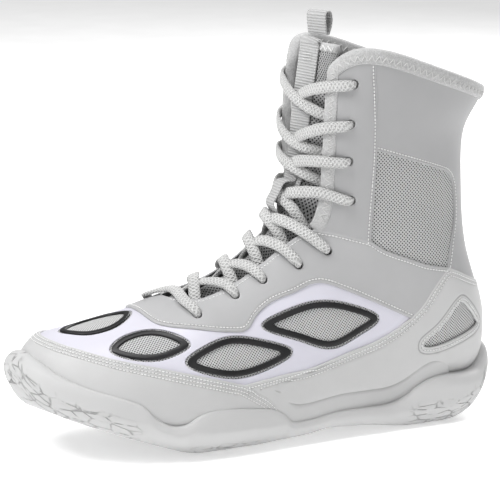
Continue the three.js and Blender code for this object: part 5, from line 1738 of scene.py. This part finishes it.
STITCH_PITCH = 1.95
STITCH_LIFT = 0.1                      # how proud of its panel a stitch lies
stitch_piece = stitch_shape()
stitch_nodes, stitch_inputs = stitch_tool(stitch_piece)


def sew(name, rows, slot):
    """The stitches of some rows as one plain mesh."""
    points = np.concatenate([p for p, _ in rows]) * MM
    ups = np.concatenate([u for _, u in rows])
    edges, at = [], 0
    for p, _ in rows:
        edges += [(at + k, at + k + 1) for k in range(len(p) - 1)]
        at += len(p)
    mesh = bpy.data.meshes.new(name + " rows")
    mesh.from_pydata(points.tolist(), edges, [])
    mesh.attributes.new("up", "FLOAT_VECTOR", "POINT").data.foreach_set("vector", ups.astype(np.float32).ravel())
    obj = bpy.data.objects.new(name, mesh)
    bpy.context.scene.collection.objects.link(obj)
    lay = obj.modifiers.new("stitches", "NODES")
    lay.node_group = stitch_nodes
    lay[stitch_inputs["pitch"]] = STITCH_PITCH * MM
    lay[stitch_inputs["size"]] = 1.0
    lay[stitch_inputs["seed"]] = 3
    lay[stitch_inputs["thread"]] = FINISH["thread"]
    graph = bpy.context.evaluated_depsgraph_get()
    made = bpy.data.meshes.new_from_object(obj.evaluated_get(graph))
    obj.modifiers.remove(lay)
    obj.data = made
    obj.name = name
    for poly in made.polygons:
        poly.use_smooth = True
    if not made.materials:
        made.materials.append(FINISH["thread"])
    finish_piece(obj, "boot", slot)
    return obj


def throat_gap(q):
    """How far a point is from the lower throat's edge."""
    return np.array([np.linalg.norm(low_throat_both - a, axis=1).min() for a in q])


low_throat_both = []
for side in (1, -1):
    for t in np.linspace(4.76, 9.9, 200):
        low_throat_both.append(spot(t, angle_across(t, float(throat_half(np.array(t))) * side)))
low_throat_both = np.array(low_throat_both)
sewn = {
    "guard_stitches": stitch_rows("toe_guard_skin", (1.7, 3.5, 5.3), (GUARD, WAIST)),
    "foxing_stitches": stitch_rows("heel_foxing_skin", (2.0, 4.0), (FOXING_FRONT, FOXING_REAR, FOXING_BACK)),
    "quarter_stitches": stitch_rows("quarter_skin", (2.2,), (QUARTER, ANKLE_FRONT, ANKLE_REAR)),
    "throat_stitches": stitch_rows("quarter_skin", (2.6,), (), keep=lambda q: (np.abs(q[:, 1]) < 24)
                                   & ~near_seams(q, (QUARTER, ANKLE_FRONT, ANKLE_REAR), 2.0)
                                   & (throat_gap(q) < 1.5)),
    "shaft_stitches": stitch_rows("shaft_skin", (1.9,), (LEG_MESH,)),
    "heel_window_stitches": stitch_rows("heel_foxing_skin", (2.0,), (), keep=lambda q: heel_gap(q) < 1.2),
}
for side in SIDES:
    sewn["eyestay_" + side + "_stitches"] = stitch_rows("upper_eyestay_" + side + "_skin", (2.0,), (EYESTAY,))
for name, rows in sewn.items():
    if rows:
        sew(name, rows, "lace_braid")
bpy.data.objects.remove(stitch_piece)
